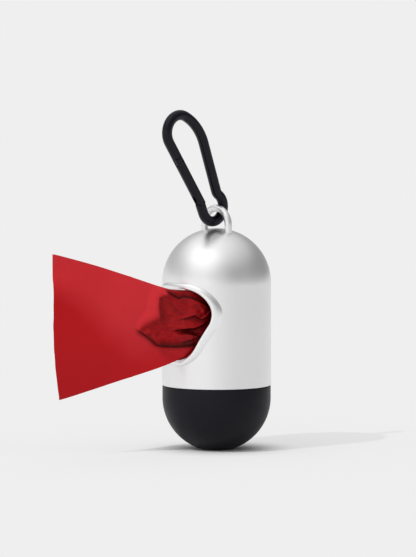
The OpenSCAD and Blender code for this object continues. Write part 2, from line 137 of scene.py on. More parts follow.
class FilmSizes(bpy.types.PropertyGroup):
    """Sizes of the film, on the roll and pulled out"""

    turn: angle("Turn", 30.0, "Turn of the pulled film from straight out")
    offset: length("Offset", 14.6 * MM, "Distance of the film's plane from the capsule's axis")
    reach: length("Reach", 68.6 * MM, "Length of the film from the roll to its far edge")
    width: length("Width", 54.6 * MM, "Width of the film at its far edge")
    thickness: length("Thickness", 0.16 * MM, "Thickness of the folded film")
    roll_turns: IntProperty(
        name="Roll turns", description="Turns of film that show on the roll", default=19, min=3
    )


class FinishColours(bpy.types.PropertyGroup):
    """Colours of the finishes"""

    silver: colour("Silver", (0.9, 0.9, 0.905), "Silver lacquer of the shell")
    lip: colour("Lip", (0.93, 0.93, 0.935), "Lacquer of the lip")
    black: colour("Cap black", (0.0080, 0.0080, 0.0114), "Moulded black of the cap")
    hook: colour("Hook black", (0.0018, 0.0017, 0.0032), "Coated black of the hook")
    film: colour("Film red", (0.58, 0.0098, 0.0145), "Red of the film in one layer")
    # Paler, pinker red: a painted sheen on the film's upper part.
    painted_sheen: colour("Taut red", (0.70, 0.032, 0.041), "Red of the film where it is drawn taut")
    # Darker red of the film in several layers, deepened by painted shade.
    pile_and_shade: colour("Gathered red", (0.30, 0.0045, 0.0070), "Red of the film in several layers")
    steel: colour("Steel", (0.34, 0.34, 0.35), "Steel of the pins and the spring")


class StudioSettings(bpy.types.PropertyGroup):
    """Camera and light"""

    azimuth: angle("Azimuth", 46.0, "Camera's place round the capsule, from straight in front")
    elevation: angle("Elevation", 4.8, "Camera's height above the level")
    distance: length("Distance", 3.0, "Camera's distance from the capsule")
    backdrop: FloatProperty(
        name="Backdrop", description="Brightness of floor and backdrop", default=0.863, min=0.0
    )


# ---------------------------------------------------------------- nodes


def reckoned(operation, first=False):
    """A method that puts a Math node on a wire and another value."""
    return lambda wire, other: wire.maths(operation, other, first=first)


class Wire:
    """A socket of a node tree that takes Python's arithmetic."""

    def __init__(self, tree, socket):
        self.tree = tree
        self.socket = socket

    def maths(self, operation, *others, first=False):
        """A Math node on this value and the others, which come first where first is True."""
        node = self.tree.nodes.new("ShaderNodeMath")
        node.operation = operation
        for socket, value in zip(node.inputs, [*others, self] if first else [self, *others]):
            put(self.tree, socket, value)
        return Wire(self.tree, node.outputs[0])

    __add__, __radd__ = reckoned("ADD"), reckoned("ADD", first=True)
    __sub__, __rsub__ = reckoned("SUBTRACT"), reckoned("SUBTRACT", first=True)
    __mul__, __rmul__ = reckoned("MULTIPLY"), reckoned("MULTIPLY", first=True)
    __truediv__, __rtruediv__ = reckoned("DIVIDE"), reckoned("DIVIDE", first=True)

    def clamped(self, low=0.0, high=1.0):
        """This value held between two others."""
        return self.maths("MAXIMUM", low).maths("MINIMUM", high)

    def ramp(self, start, end):
        """0 below start, 1 above end and smooth between them."""
        smooth = {"interpolation_type": "SMOOTHSTEP"}
        return node_of(self.tree, "ShaderNodeMapRange", smooth, Value=self, From_Min=start, From_Max=end)


def put(tree, socket, value):
    """Links a wire to a socket, or sets the socket's own value."""
    if isinstance(value, Wire):
        tree.links.new(value.socket, socket)
    else:
        socket.default_value = value


def node_of(tree, kind, settings=None, out=0, **values):
    """Any node: its settings, then a wire or a value for each of its sockets, with _ for a space."""
    node = tree.nodes.new(kind)
    for key, value in (settings or {}).items():
        setattr(node, key, value)
    for key, value in values.items():
        name = key.replace("_", " ")
        put(tree, next(s for s in node.inputs if s.name == name and s.enabled), value)
    return Wire(tree, node.outputs[out])


# ---------------------------------------------------------------- finishes


class Finish:
    """A material with one shader, built from wires."""

    def __init__(self, name):
        self.material = bpy.data.materials.new(name)
        self.material.use_nodes = True
        self.tree = self.material.node_tree
        self.shader = self.tree.nodes["Principled BSDF"]
        self.place = self.node("ShaderNodeTexCoord", out="Object")

    def node(self, kind, settings=None, out=0, **values):
        """Any node in the material's tree."""
        return node_of(self.tree, kind, settings, out, **values)

    def grain(self, scale, detail=2.0, roughness=0.5, stretch=None, distortion=0.0):
        """Noise around 0.5, with the number of its blobs in a metre."""
        at = self.place
        if stretch:
            at = self.node("ShaderNodeMapping", Vector=at, Scale=stretch)
        return self.node(
            "ShaderNodeTexNoise",
            Vector=at,
            Scale=scale,
            Detail=detail,
            Roughness=roughness,
            Distortion=distortion,
        )

    def blend(self, factor, a, b):
        """Colour a where factor is 0 and b where it is 1."""
        a, b = (c if isinstance(c, Wire) else (*c, 1.0) for c in (a, b))
        return self.node("ShaderNodeMix", {"data_type": "RGBA"}, out=2, Factor=factor, A=a, B=b)

    def relief(self, height, depth, strength, **under):
        """A bump as deep as depth, on top of another where Normal gives one."""
        return self.node("ShaderNodeBump", Height=height, Distance=depth, Strength=strength, **under)

    def surface(self, **values):
        """Sets the shader's sockets, with _ for a space, and returns the material."""
        for key, value in values.items():
            put(self.tree, self.shader.inputs[key.replace("_", " ")], value)
        return self.material

    def mixed(self, factor, other):
        """Mixes a second shader over the surface and returns the material."""
        node = self.tree.nodes.new("ShaderNodeMixShader")
        for socket, value in zip(node.inputs, (factor, Wire(self.tree, self.shader.outputs[0]), other)):
            put(self.tree, socket, value)
        self.tree.links.new(node.outputs[0], self.tree.nodes["Material Output"].inputs["Surface"])
        return self.material


def scaled(value, share):
    """A colour times a number."""
    return tuple(c * share for c in value)


def silver_lacquer(name, base, rough):
    """Satin silver lacquer: fine flakes, a faint orange peel and a slight drift in gloss."""
    f = Finish(name)
    flakes, peel, drift = f.grain(5200.0, detail=1.0), f.grain(620.0), f.grain(46.0)
    soft = f.relief(peel, 0.006 * MM, 0.6)
    return f.surface(
        Base_Color=f.blend((flakes * 0.6 + drift * 0.4).clamped(), scaled(base, 0.955), base),
        Metallic=1.0,
        Roughness=rough + (drift - 0.5) * 0.05 + (flakes - 0.5) * 0.04,
        Normal=f.relief(flakes, 0.0012 * MM, 0.6, Normal=soft),
    )


def moulded_black(name, base):
    """Fine spark-eroded black plastic with faint specks and lighter handling marks."""
    f = Finish(name)
    grain = f.grain(2600.0, detail=3.0, roughness=0.62)
    specks = f.grain(1500.0, detail=1.0).ramp(0.66, 0.78)
    marks = f.grain(60.0, detail=4.0, roughness=0.6, stretch=(1.0, 1.0, 2.2)).ramp(0.5, 0.8)
    return f.surface(
        Base_Color=f.blend((specks * 0.35 + marks * 0.3).clamped(), base, scaled(base, 1.9)),
        Roughness=0.42 + (grain - 0.5) * 0.12 - marks * 0.05,
        Specular_IOR_Level=0.13,
        Normal=f.relief(grain, 0.014 * MM, 0.8),
    )


def coated_black(name, base):
    """Matt black coating on metal, with drawing lines along Z and slight polish from use."""
    f = Finish(name)
    grain = f.grain(3800.0)
    lines = f.grain(900.0, stretch=(1.0, 1.0, 0.08))
    polish = f.grain(150.0, detail=3.0).ramp(0.45, 0.75)
    lined = f.relief(lines, 0.008 * MM, 0.5)
    return f.surface(
        Base_Color=f.blend((polish * 0.5 + lines * 0.25).clamped(), base, scaled(base, 1.8)),
        Roughness=0.27 - polish * 0.05 + (grain - 0.5) * 0.08,
        Specular_IOR_Level=0.27,
        Specular_Tint=(0.84, 0.84, 1.0, 1.0),
        Normal=f.relief(grain, 0.006 * MM, 0.6, Normal=lined),
    )


def turned_steel(name, base):
    """Turned or drawn steel with fine rings."""
    f = Finish(name)
    rings = f.grain(4200.0, stretch=(0.15, 1.0, 1.0))
    stain = f.grain(500.0, detail=3.0)
    return f.surface(
        Base_Color=f.blend(stain, scaled(base, 0.75), base),
        Metallic=1.0,
        Roughness=0.34 + (rings - 0.5) * 0.2,
        Normal=f.relief(rings, 0.006 * MM, 0.5),
    )


def thin_film(name, base, pale, piled_and_shaded, glow):
    """Thin plastic film, with painted light: a painted sheen makes it paler towards the top, several
    layers and painted shade make it duller and deeper where it is gathered, and painted shade darkens it
    almost to black in creases, under folds and inside the opening.
    """
    f = Finish(name)
    creases = f.grain(240.0, detail=4.0, roughness=0.55, distortion=0.6)
    pores = f.grain(3000.0, detail=1.0)
    cloud = f.grain(34.0)
    painted_sheen, layers, painted_shade = (
        f.node("ShaderNodeAttribute", {"attribute_name": key}, out="Fac")
        for key in ("painted_sheen", "pile_and_shade", "painted_shade")
    )
    # Painted sheen: paler towards the top of the fan, with random clouds and creases.
    paler = (painted_sheen - 0.1) * 1.1 + (cloud - 0.5) * 0.5 + (creases - 0.5) * 0.25
    # Darker red where the film lies in several layers, deepened by painted shade.
    tone = f.blend(layers, f.blend(paler.clamped(), base, pale), piled_and_shaded)
    creased = f.relief(creases, 0.05 * MM, 0.25)
    f.surface(
        # Painted shade: almost black red in creases, under folds and inside the opening.
        Base_Color=f.blend(painted_shade, tone, scaled(piled_and_shaded, 0.1)),
        Roughness=0.4 + (pores - 0.5) * 0.12,
        Specular_IOR_Level=0.13,
        Normal=f.relief(pores, 0.004 * MM, 0.5, Normal=creased),
    )
    through = f.node("ShaderNodeBsdfTranslucent", Color=(*base, 1.0))
    return f.mixed((1.0 - layers * 0.7) * glow, through)


def wound_card(name):
    """Grey-brown card with fibres."""
    f = Finish(name)
    fibres = f.grain(1800.0, detail=4.0, roughness=0.7, stretch=(1.0, 1.0, 3.0))
    return f.surface(
        Base_Color=f.blend(fibres, (0.30, 0.20, 0.12), (0.46, 0.34, 0.22)),
        Roughness=0.86,
        Normal=f.relief(fibres, 0.03 * MM, 0.8),
    )


def fine_grained(name, scale, dark, light, rough, depth):
    """Rubber or moulded plastic: one fine grain in its tone, its roughness and its relief."""
    f = Finish(name)
    grain = f.grain(scale, detail=3.0)
    return f.surface(
        Base_Color=f.blend(grain, dark, light),
        Roughness=rough + (grain - 0.5) * 0.1,
        Normal=f.relief(grain, depth, 0.6),
    )


# ---------------------------------------------------------------- meshes


def linked(name, data):
    """A new object in the scene."""
    obj = bpy.data.objects.new(name, data)
    bpy.context.scene.collection.objects.link(obj)
    return obj


def drawn(name, points, edges, faces):
    """An object from points, edges and faces."""
    mesh = bpy.data.meshes.new(name)
    mesh.from_pydata([tuple(p) for p in points], edges, faces)
    return linked(name, mesh)


def sculpted(name, bm):
    """An object from a bmesh, which is freed."""
    mesh = bpy.data.meshes.new(name)
    bm.to_mesh(mesh)
    bm.free()
    return linked(name, mesh)


def tidied(obj, crease=38.0):
    """Merges doubles, turns faces outwards, shades smooth and marks the sharp edges."""
    bm = bmesh.new()
    bm.from_mesh(obj.data)
    bmesh.ops.remove_doubles(bm, verts=bm.verts, dist=1e-7)
    bmesh.ops.dissolve_degenerate(bm, dist=1e-8, edges=bm.edges)
    bmesh.ops.delete(bm, geom=[e for e in bm.edges if e.is_wire], context="EDGES")
    bmesh.ops.recalc_face_normals(bm, faces=bm.faces)
    bm.to_mesh(obj.data)
    bm.free()
    obj.data.shade_smooth()
    obj.data.set_sharp_from_angle(angle=math.radians(crease))
    return obj


def solid(name, points, faces, crease=38.0):
    """A closed object from points and faces, with outward normals and sharp edges."""
    return tidied(drawn(name, points, [], faces), crease)


def quads(rows, columns, round_rows=False, round_columns=False):
    """Faces of a grid of points, row by row."""
    return [
        (
            i * columns + j,
            i * columns + (j + 1) % columns,
            (i + 1) % rows * columns + (j + 1) % columns,
            (i + 1) % rows * columns + j,
        )
        for i in range(rows if round_rows else rows - 1)
        for j in range(columns if round_columns else columns - 1)
    ]


def arc(centre, radius, start, end, steps):
    """Points of an arc in a plane, both ends included, in degrees."""
    return [
        (
            centre[0] + radius * math.cos(math.radians(a)),
            centre[1] + radius * math.sin(math.radians(a)),
        )
        for a in np.linspace(start, end, steps + 1)
    ]


def turned(name, outline, steps):
    """A closed outline of radius and height, turned round Z."""
    around = np.linspace(0, 2 * np.pi, steps, endpoint=False)
    points = [(r * math.cos(a), r * math.sin(a), z) for r, z in outline for a in around]
    return solid(name, points, quads(len(outline), steps, True, True))


def post(radius, low, high, place, steps=48):
    """A round bar along Z between two heights, moved by a matrix."""
    obj = turned("post", [(0, low), (radius, low), (radius, high), (0, high)], steps)
    obj.data.transform(place)
    return obj


def block(low, high, place):
    """A box between two corners, moved by a matrix."""
    low, high = Vector(low), Vector(high)
    shape = Matrix.Translation((high + low) / 2) @ Matrix.Diagonal((*(high - low), 1.0))
    bm = bmesh.new()
    bmesh.ops.create_cube(bm, size=1.0, matrix=place @ shape)
    return sculpted("block", bm)


def prism(first, last):
    """A closed object between two rings of as many points."""
    count = len(first)
    ends = [tuple(reversed(range(count))), tuple(range(count, 2 * count))]
    return solid("prism", first + last, ends + quads(2, count, round_columns=True))


def settled(obj):
    """Applies what the modifiers make of an object to its own mesh."""
    bpy.context.view_layer.update()
    graph = bpy.context.evaluated_depsgraph_get()
    mesh = bpy.data.meshes.new_from_object(obj.evaluated_get(graph), depsgraph=graph)
    obj.modifiers.clear()
    old, obj.data = obj.data, mesh
    bpy.data.meshes.remove(old)
    return obj


def cut(obj, *tools):
    """Cuts closed objects out of another and removes them."""
    for tool in tools:
        step = obj.modifiers.new("cut", "BOOLEAN")
        step.operation = "DIFFERENCE"
        step.solver = "EXACT"
        step.object = tool
        settled(obj)
        bpy.data.objects.remove(tool)


def joined(obj, *others):
    """Adds the meshes of other objects to one, as loose parts, and removes them."""
    bm = bmesh.new()
    for part in (obj, *others):
        bm.from_mesh(part.data)
    bm.to_mesh(obj.data)
    bm.free()
    for part in others:
        bpy.data.objects.remove(part)


def coat(obj, material):
    """Gives all of an object one material."""
    obj.data.materials.clear()
    obj.data.materials.append(material)


def dressed(obj, material, body, *nodes, slot):
    """Gives a finished piece its material and its body, and hides the nodes that it stands for; its slot
    is not used.
    """
    coat(obj, material)
    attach(obj, body)
    if nodes:
        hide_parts(*nodes)


# ---------------------------------------------------------------- geometry node trees


def node_tree(name, inputs):
    """An empty geometry node tree with named inputs and a material, and wires from them."""
    tree = bpy.data.node_groups.new(name, "GeometryNodeTree")
    face = tree.interface
    face.new_socket("Geometry", in_out="INPUT", socket_type="NodeSocketGeometry")
    for label, value in inputs.items():
        kind = "NodeSocketInt" if isinstance(value, int) else "NodeSocketFloat"
        face.new_socket(label, in_out="INPUT", socket_type=kind).default_value = value
    face.new_socket("Material", in_out="INPUT", socket_type="NodeSocketMaterial")
    face.new_socket("Geometry", in_out="OUTPUT", socket_type="NodeSocketGeometry")
    return tree, {s.name: Wire(tree, s) for s in tree.nodes.new("NodeGroupInput").outputs}


def swept(tree, path, section):
    """A section swept along a curve, with closed ends."""
    return node_of(
        tree, "GeometryNodeCurveToMesh", Curve=path, Profile_Curve=section, Fill_Caps=True
    )


def end_tree(tree, given, shape):
    """Ends a tree in real geometry with the material that its input names."""
    smooth = node_of(tree, "GeometryNodeSetShadeSmooth", Geometry=shape)
    real = node_of(tree, "GeometryNodeRealizeInstances", Geometry=smooth)
    coated = node_of(tree, "GeometryNodeSetMaterial", Geometry=real, Material=given["Material"])
    put(tree, tree.nodes.new("NodeGroupOutput").inputs[0], coated)
    return tree


def rod_tree():
    """Sweeps a round rod along the edges of a mesh."""
    tree, given = node_tree("round rod", {"Radius": 2.0 * MM, "Sides": 40})
    path = node_of(tree, "GeometryNodeMeshToCurve", Mesh=given["Geometry"])
    ring = node_of(
        tree, "GeometryNodeCurvePrimitiveCircle", Resolution=given["Sides"], Radius=given["Radius"]
    )
    return end_tree(tree, given, swept(tree, path, ring))


def winding_tree(name, flat):
    """Winds a strip or a wire along a spiral around Z, in as many copies as there are starts."""
    lengths = ("Start radius", "End radius", "Foot width", "Crest width", "Thickness")
    inputs = {"Steps in a turn": 64, "Turns": 5.0, "Climb": 0.0, "Crest side": math.pi / 2, "Starts": 1}
    tree, given = node_tree(name, inputs | {label: 1.0 * MM for label in lengths})
    spiral = node_of(
        tree,
        "GeometryNodeCurveSpiral",
        Resolution=given["Steps in a turn"],
        Rotations=given["Turns"],
        Start_Radius=given["Start radius"],
        End_Radius=given["End radius"],
        Height=given["Climb"],
    )
    level = node_of(tree, "GeometryNodeSetCurveNormal", {"mode": "Z_UP"}, Curve=spiral)
    thick = given["Thickness"]
    if flat:
        strip = node_of(
            tree,
            "GeometryNodeCurvePrimitiveQuadrilateral",
            {"mode": "TRAPEZOID"},
            Height=thick,
            Bottom_Width=given["Foot width"],
            Top_Width=given["Crest width"],
            Offset=0.0,
        )
        turn = node_of(tree, "ShaderNodeCombineXYZ", Z=given["Crest side"])
        section = node_of(tree, "GeometryNodeTransform", Geometry=strip, Rotation=turn)
    else:
        section = node_of(tree, "GeometryNodeCurvePrimitiveCircle", Resolution=10, Radius=thick)
    spin = node_of(tree, "GeometryNodeInputIndex") / given["Starts"] * (2 * math.pi)
    copies = node_of(
        tree,
        "GeometryNodeInstanceOnPoints",
        Points=node_of(tree, "GeometryNodePoints", Count=given["Starts"]),
        Instance=swept(tree, level, section),
        Rotation=node_of(tree, "ShaderNodeCombineXYZ", Z=spin),
    )
    return end_tree(tree, given, copies)


def grown(name, points, tree, values, material):
    """Runs a geometry tree on a chain of edges through points and keeps what it makes."""
    obj = drawn(name, points, [(i, i + 1) for i in range(len(points) - 1)], [])
    step = obj.modifiers.new("grow", "NODES")
    step.node_group = tree
    keys = {s.name: s.identifier for s in tree.interface.items_tree if s.in_out == "INPUT"}
    for key, value in {**values, "Material": material}.items():
        step[keys[key]] = value
    return settled(obj)


def swept_rod(name, points, radius, material, sides):
    """A round rod along points, with closed ends."""
    return tidied(grown(name, points, rod_tree(), {"Radius": radius, "Sides": sides}, material))


def wound(name, flat, start, end, values, material):
    """A strip or a wire wound round Z from one radius to another."""
    values = {"Start radius": start, "End radius": end, **values}
    return grown(name, [(0, 0, 0), (0, 0, MM)], winding_tree(name, flat), values, material)


# ---------------------------------------------------------------- capsule

PACKED_WIRE = 1.275 * MM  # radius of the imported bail's wire
CORNER_X, CORNER_Z, CORNER_R = 5.1 * MM, 53.75 * MM, 8.9 * MM  # the opening's upper corners
TIP_Z, TIP_R = 45.1 * MM, 9.3 * MM  # its round lower tip
OUTLINE_STEP = 0.6 * MM


def opening_outline(grow=0.0):
    """Points of the opening's outline in X and Z, grown outwards, and the normals there."""
    drop = CORNER_Z - TIP_Z
    side = math.degrees(
        math.atan2(drop, CORNER_X) - math.acos((TIP_R - CORNER_R) / math.hypot(CORNER_X, drop))
    )
    points, normals = [], []
    for centre, radius, start, end, steps in (
        ((CORNER_X, CORNER_Z), CORNER_R, side, 90.0, 34),
        ((-CORNER_X, CORNER_Z), CORNER_R, 90.0, 180.0 - side, 34),
        ((0.0, TIP_Z), TIP_R, 180.0 - side, 360.0 + side, 36),
    ):
        points += arc(centre, radius + grow, start, end, steps)
        normals += arc((0, 0), 1.0, start, end, steps)
    dense_points, dense_normals = [], []
    for i, (p, n) in enumerate(zip(points, normals)):
        q = points[(i + 1) % len(points)]
        parts = max(1, round(math.dist(p, q) / OUTLINE_STEP))
        for k in range(parts):
            dense_points.append([a + (b - a) * k / parts for a, b in zip(p, q)])
            dense_normals.append(n)
    return np.array(dense_points), np.array(dense_normals)


def shell_body(sizes):
    """The shell: dome, wall, rounded seam edge and neck, with the opening cut through."""
    dome_z = sizes.top - sizes.radius
    inner = sizes.radius - sizes.wall
    neck, low = sizes.neck_radius, sizes.neck_low
    bore = neck - sizes.neck_wall
    shoulder = sizes.seam + sizes.wall
    edge, soft = sizes.edge, 0.2 * MM
    outline = [(bore, low + soft), (bore + soft, low), (neck - soft, low), (neck, low + soft)]
    outline += [(neck, sizes.seam)]
    outline += arc((sizes.radius - edge, sizes.seam + edge), edge, -90, 0, 6)
    outline += arc((0, dome_z), sizes.radius, 0, 90, 72)
    outline += arc((0, dome_z), inner, 90, 0, 40)
    outline += [(inner, shoulder + inner - bore), (bore, shoulder)]
    body = turned("capsule_shell", outline, 288)
    hole, _ = opening_outline(1.05 * MM)
    tools = [prism(*([(x, y, z) for x, z in hole] for y in (-30 * MM, -inner / 2)))]
    for x in (bail_low.x, bail_high.x):
        leg = Matrix.Translation((x - math.copysign(PACKED_WIRE, x), 0, 0))
        tools.append(post(1.42 * MM, 70 * MM, 90 * MM, leg))
    cut(body, *tools)
    polish(body.data, sizes, dome_z, inner)
    return body


def polish(mesh, sizes, dome_z, inner):
    """Gives the round walls their true normals, so that the cut leaves no mark in the gloss."""
    mesh.shade_smooth()
    normals = []
    for face in mesh.polygons:
        flat = face.normal
        for index in face.vertices:
            at = mesh.vertices[index].co
            out = Vector((at.x, at.y, max(0.0, at.z - dome_z)))
            normal = flat
            for radius, way in ((sizes.radius, 1.0), (inner, -1.0)):
                if abs(out.length - radius) < 0.03 * MM and flat.dot(out) * way > 0.94 * out.length:
                    normal = out.normalized() * way
            normals.append(normal)
    mesh.normals_split_custom_set(normals)


def thread(name, radius, out, sizes, start, material):
    """Two helical ridges on a wall, standing out of it or into it."""
    root = 0.3 * MM  # how deep a ridge stands in the wall
    foot_z = 18.9 * MM
    depth = sizes.thread_depth + root
    middle = radius + (depth / 2 - root) * out
    values = {
        "Steps in a turn": 72,
        "Turns": sizes.thread_turns,
        "Climb": sizes.thread_lead * sizes.thread_turns,
        "Foot width": 1.55 * MM,
        "Crest width": 0.7 * MM,
        "Thickness": depth,
        "Crest side": out * math.pi / 2,
        "Starts": 2,
    }
    ridges = wound(name, True, middle, middle, values, material)
    ridges.data.transform(Matrix.Translation((0, 0, foot_z)) @ Matrix.Rotation(start, 4, "Z"))
    return tidied(ridges, 30)


def lip_ring(sizes):
    """The lip: a rounded ridge round the opening on a sleeve through the wall, with two barbs."""
    outline, normals = opening_outline()
    wall, wall_in = sizes.radius, sizes.radius - sizes.wall
    end, ease = wall_in - 0.5 * MM, 0.15 * MM  # the sleeve's inner end and the ease of its edges
    crest, sleeve = 1.05 * MM, 1.0 * MM
    section = [(0.0, end + ease), (0.0, wall)]
    foot = 0.1 * MM
    for t in np.linspace(0, 90, 9):
        c, s = math.cos(math.radians(t)), math.sin(math.radians(t))
        section.append((crest * (1 - c), wall + foot + (sizes.lip_height - foot) * s))
    foot = 0.03 * MM
    for t in np.linspace(10, 90, 12):
        share = math.sin(math.radians(t)) ** 1.15
        fall = (1 - math.cos(math.radians(t))) ** 1.2
        rise = (sizes.lip_height - foot) * (1 - fall)
        section.append((crest + (sizes.lip_width - crest) * share, wall + foot + rise))
    section += [(sleeve, wall + 0.02 * MM), (sleeve, wall_in - 0.02 * MM)]
    barbs = (len(section), len(section) + 1)
    section += [(sleeve, wall_in - 0.04 * MM), (sleeve, end + ease)]
    section += [(sleeve - ease, end), (ease, end)]
    at_sides = (np.abs(outline[:, 1] - CORNER_Z) < 3 * MM) & (np.abs(normals[:, 0]) > 0.5)
    rows = []
    for i, (grow, radius) in enumerate(section):
        out = grow + at_sides * (0.6 * MM if i in barbs else 0.0)
        x, z = (outline + normals * out[:, None]).T
        rows.append(np.stack([x, -np.sqrt(radius**2 - x**2), z], -1))
    faces = quads(len(section), len(outline), True, True)
    return solid("opening_lip", np.concatenate(rows), faces, 48)


def bail_loop(sizes, material):
    """The bail: a wire arch whose legs go through the dome."""
    radius = sizes.bail_radius
    middle = bail_high.z - PACKED_WIRE - radius
    bend = middle - 2 * MM
    path = [(-radius, bail_low.z), (-radius, bend), *arc((0, middle), radius, 180, 0, 48)]
    path += [(radius, bend), (radius, bail_low.z)]
    return swept_rod("bail_loop", [(x, 0, z) for x, z in path], sizes.wire, material, 40)


def cap_body(sizes):
    """The cap: a round bottom on a small flat, a rounded rim and a rebate for the liner."""
    radius, rim, wall, edge = sizes.cap_radius, sizes.cap_rim, sizes.cap_wall, sizes.edge
    rebate_r, rebate_z = 20.3 * MM, 24.15 * MM
    inner = radius - wall
    ball_z = math.sqrt(radius**2 - sizes.cap_flat**2)
    low = math.degrees(math.asin(ball_z / radius))
    floor_r = math.sqrt(inner**2 - (ball_z - wall) ** 2)
    outline = [(0, 0), (sizes.cap_flat - 0.4 * MM, 0.0)]
    outline += arc((0, ball_z), radius, -low + 1.2, 0, 64)
    outline += arc((radius - edge, rim - edge), edge, 0, 90, 6)
    outline += [(rebate_r, rim), (rebate_r, rebate_z), (inner, rebate_z)]
    outline += arc((0, ball_z), inner, 0, -math.degrees(math.acos(floor_r / inner)), 40)
    outline += [(0, wall)]
    return turned("screw_cap", outline, 240)


def film_roll(sizes, material):
    """The roll: film wound in many turns, from the core out to where the pulled film leaves."""
    low, high = roll_low.z, roll_high.z
    core, outer = 7.1 * MM, roll_high.x
    turns = float(sizes.roll_turns)
    thick = (outer - core) / turns * 0.72  # the rest is air between the turns
    values = {
        "Steps in a turn": 72,
        "Turns": turns,
        "Foot width": high - low,
        "Crest width": high - low,
        "Thickness": thick,
    }
    roll = wound("film_roll", True, core + thick / 2, outer - thick / 2, values, material)
    middle = Matrix.Translation((0, 0, (low + high) / 2))
    roll.data.transform(middle @ Matrix.Rotation(-sizes.turn, 4, "Z"))
    return tidied(roll, 40)


# ---------------------------------------------------------------- snap hook

EYE_R = 5.5 * MM  # the hook's eye at its rod's middle
PACKED_ROD = 1.95 * MM
TONGUE = 0.65 * MM  # half the thickness of the tongue, the stem and the cam
SLOT = 0.75 * MM  # half the width of the gate's slots
LATCH = 1.7 * MM  # from the gate's upper end down to its latch pin
STILL = Matrix.Identity(4)
Z_TO_Y = Matrix.Rotation(-math.pi / 2, 4, "X")


def hook_place(sizes):
    """The matrix that puts the hook's own plane, across and along, into the frame."""
    play = 0.15 * MM
    link = EYE_R - PACKED_ROD - PACKED_WIRE - play
    turn = math.radians(166)
    wire_z = bail_high.z - PACKED_WIRE
    eye = Matrix.Translation((0, link * math.cos(turn), wire_z + link * math.sin(turn)))
    flat = Matrix(((0, 0, 1, 0), (1, 0, 0, 0), (0, 1, 0, 0), (0, 0, 0, 1)))
    return eye @ Matrix.Rotation(sizes.lean, 4, "X") @ flat


def heading(v):
    """The direction of a vector in a plane, in degrees."""
    return math.degrees(math.atan2(v[1], v[0]))


def unit(v):
    """A vector of length 1."""
    return v / np.linalg.norm(v)


class HookLine:
    """The middle line of the hook's rod: eye, neck, back leg, long bend, top bend and nose."""

    def __init__(self, sizes):
        self.top_r, self.side_r, self.neck_r = 6.67 * MM, 19.2 * MM, 3.0 * MM
        self.top = np.array((-1.9, 34.4)) * MM
        self.pivot = np.array((-5.1, 5.95)) * MM
        back_point = np.array((4.75, 6.9)) * MM
        lean = math.radians(8)
        along = np.array((math.sin(lean), math.cos(lean)))
        inward = np.array((-math.cos(lean), math.sin(lean)))
        q = back_point + self.side_r * inward - self.top
        t = -q @ along - math.sqrt((q @ along) ** 2 - q @ q + (self.side_r - self.top_r) ** 2)
        self.side = back_point + t * along + self.side_r * inward
        self.side_end = heading(self.top - self.side)
        q = back_point - self.neck_r * inward
        t = -q @ along + math.sqrt((q @ along) ** 2 - q @ q + (EYE_R + self.neck_r) ** 2)
        self.neck = q + t * along
        self.neck_end = heading(self.neck)
        self.top_end, leaves = self.touch(self.top, self.top_r, -1)
        self.front = unit(leaves - self.pivot)
        self.nose = self.pivot + (sizes.gate_length + 0.25 * MM) * self.front
        self.tail_start, leaves = self.touch(np.zeros(2), EYE_R, 1)
        self.tail = unit(self.pivot - leaves)

    def touch(self, centre, radius, side):
        """Where a line from the pivot touches a circle: the angle, in degrees, and the point."""
        way = self.pivot - centre
        turn = heading(way) + side * math.degrees(math.acos(radius / np.linalg.norm(way)))
        return turn, np.array(arc(centre, radius, turn, turn, 0)[0])

    def points(self):
        """Points from the tail, round the eye and the top, to the nose."""
        path = [tuple(self.pivot - 1.2 * MM * self.tail)]
        path += arc((0, 0), EYE_R, self.tail_start, 360 + self.neck_end, 60)
        path += arc(self.neck, self.neck_r, 180 + self.neck_end, 172, 8)
        path += arc(self.side, self.side_r, -8, self.side_end, 36)
        path += arc(self.top, self.top_r, self.side_end, 360 + self.top_end, 48)[1:]
        path += [tuple(self.nose)]
        return [(x, y, 0) for x, y in path]


def at_pivot(sizes, line, way):
    """The matrix of the hook's pivot: X towards the inside of the hook, Y along a way."""
    turn = Matrix.Rotation(math.radians(heading(way) - 90), 4, "Z")
    return hook_place(sizes) @ Matrix.Translation((*line.pivot, 0)) @ turn


def hook_rod(sizes, line, material):
    """The hook's rod with the tongue and notch under its nose and the seat and cam on its tail."""
    gate, tail = at_pivot(sizes, line, line.front), at_pivot(sizes, line, line.tail)
    rod = swept_rod("hook_rod", line.points(), sizes.rod, material, 44)
    rod.data.transform(hook_place(sizes))
    knuckle = sizes.gate + 0.12 * MM
    wide = 4 * MM
    cut(rod, post(knuckle, -wide, wide, gate))
    notch, latch = 0.65 * MM, sizes.gate_length - LATCH
    under, over = latch - notch - 0.75 * MM, sizes.gate_length + 1.2 * MM
    tongue = block((-1.65 * MM, under, -TONGUE), (1.6 * MM, over, TONGUE), gate)
    cut(
        tongue,
        post(notch, -3 * MM, 3 * MM, gate @ Matrix.Translation((0, latch, 0)), 32),
        block((0, latch - notch, -3 * MM), (wide, latch + notch, 3 * MM), gate),
    )
    stem = block((-1.3 * MM, -knuckle - MM, -TONGUE), (1.3 * MM, 0, TONGUE), tail)
    cam_turn, cam_out = math.radians(8), 0.5 * MM
    cam_at = (cam_out * math.cos(cam_turn), -cam_out * math.sin(cam_turn), 0)
    cam = post(1.3 * MM, -TONGUE, TONGUE, gate @ Matrix.Translation(cam_at), 40)
    joined(rod, tongue, stem, cam)
    return tidied(rod, 34)


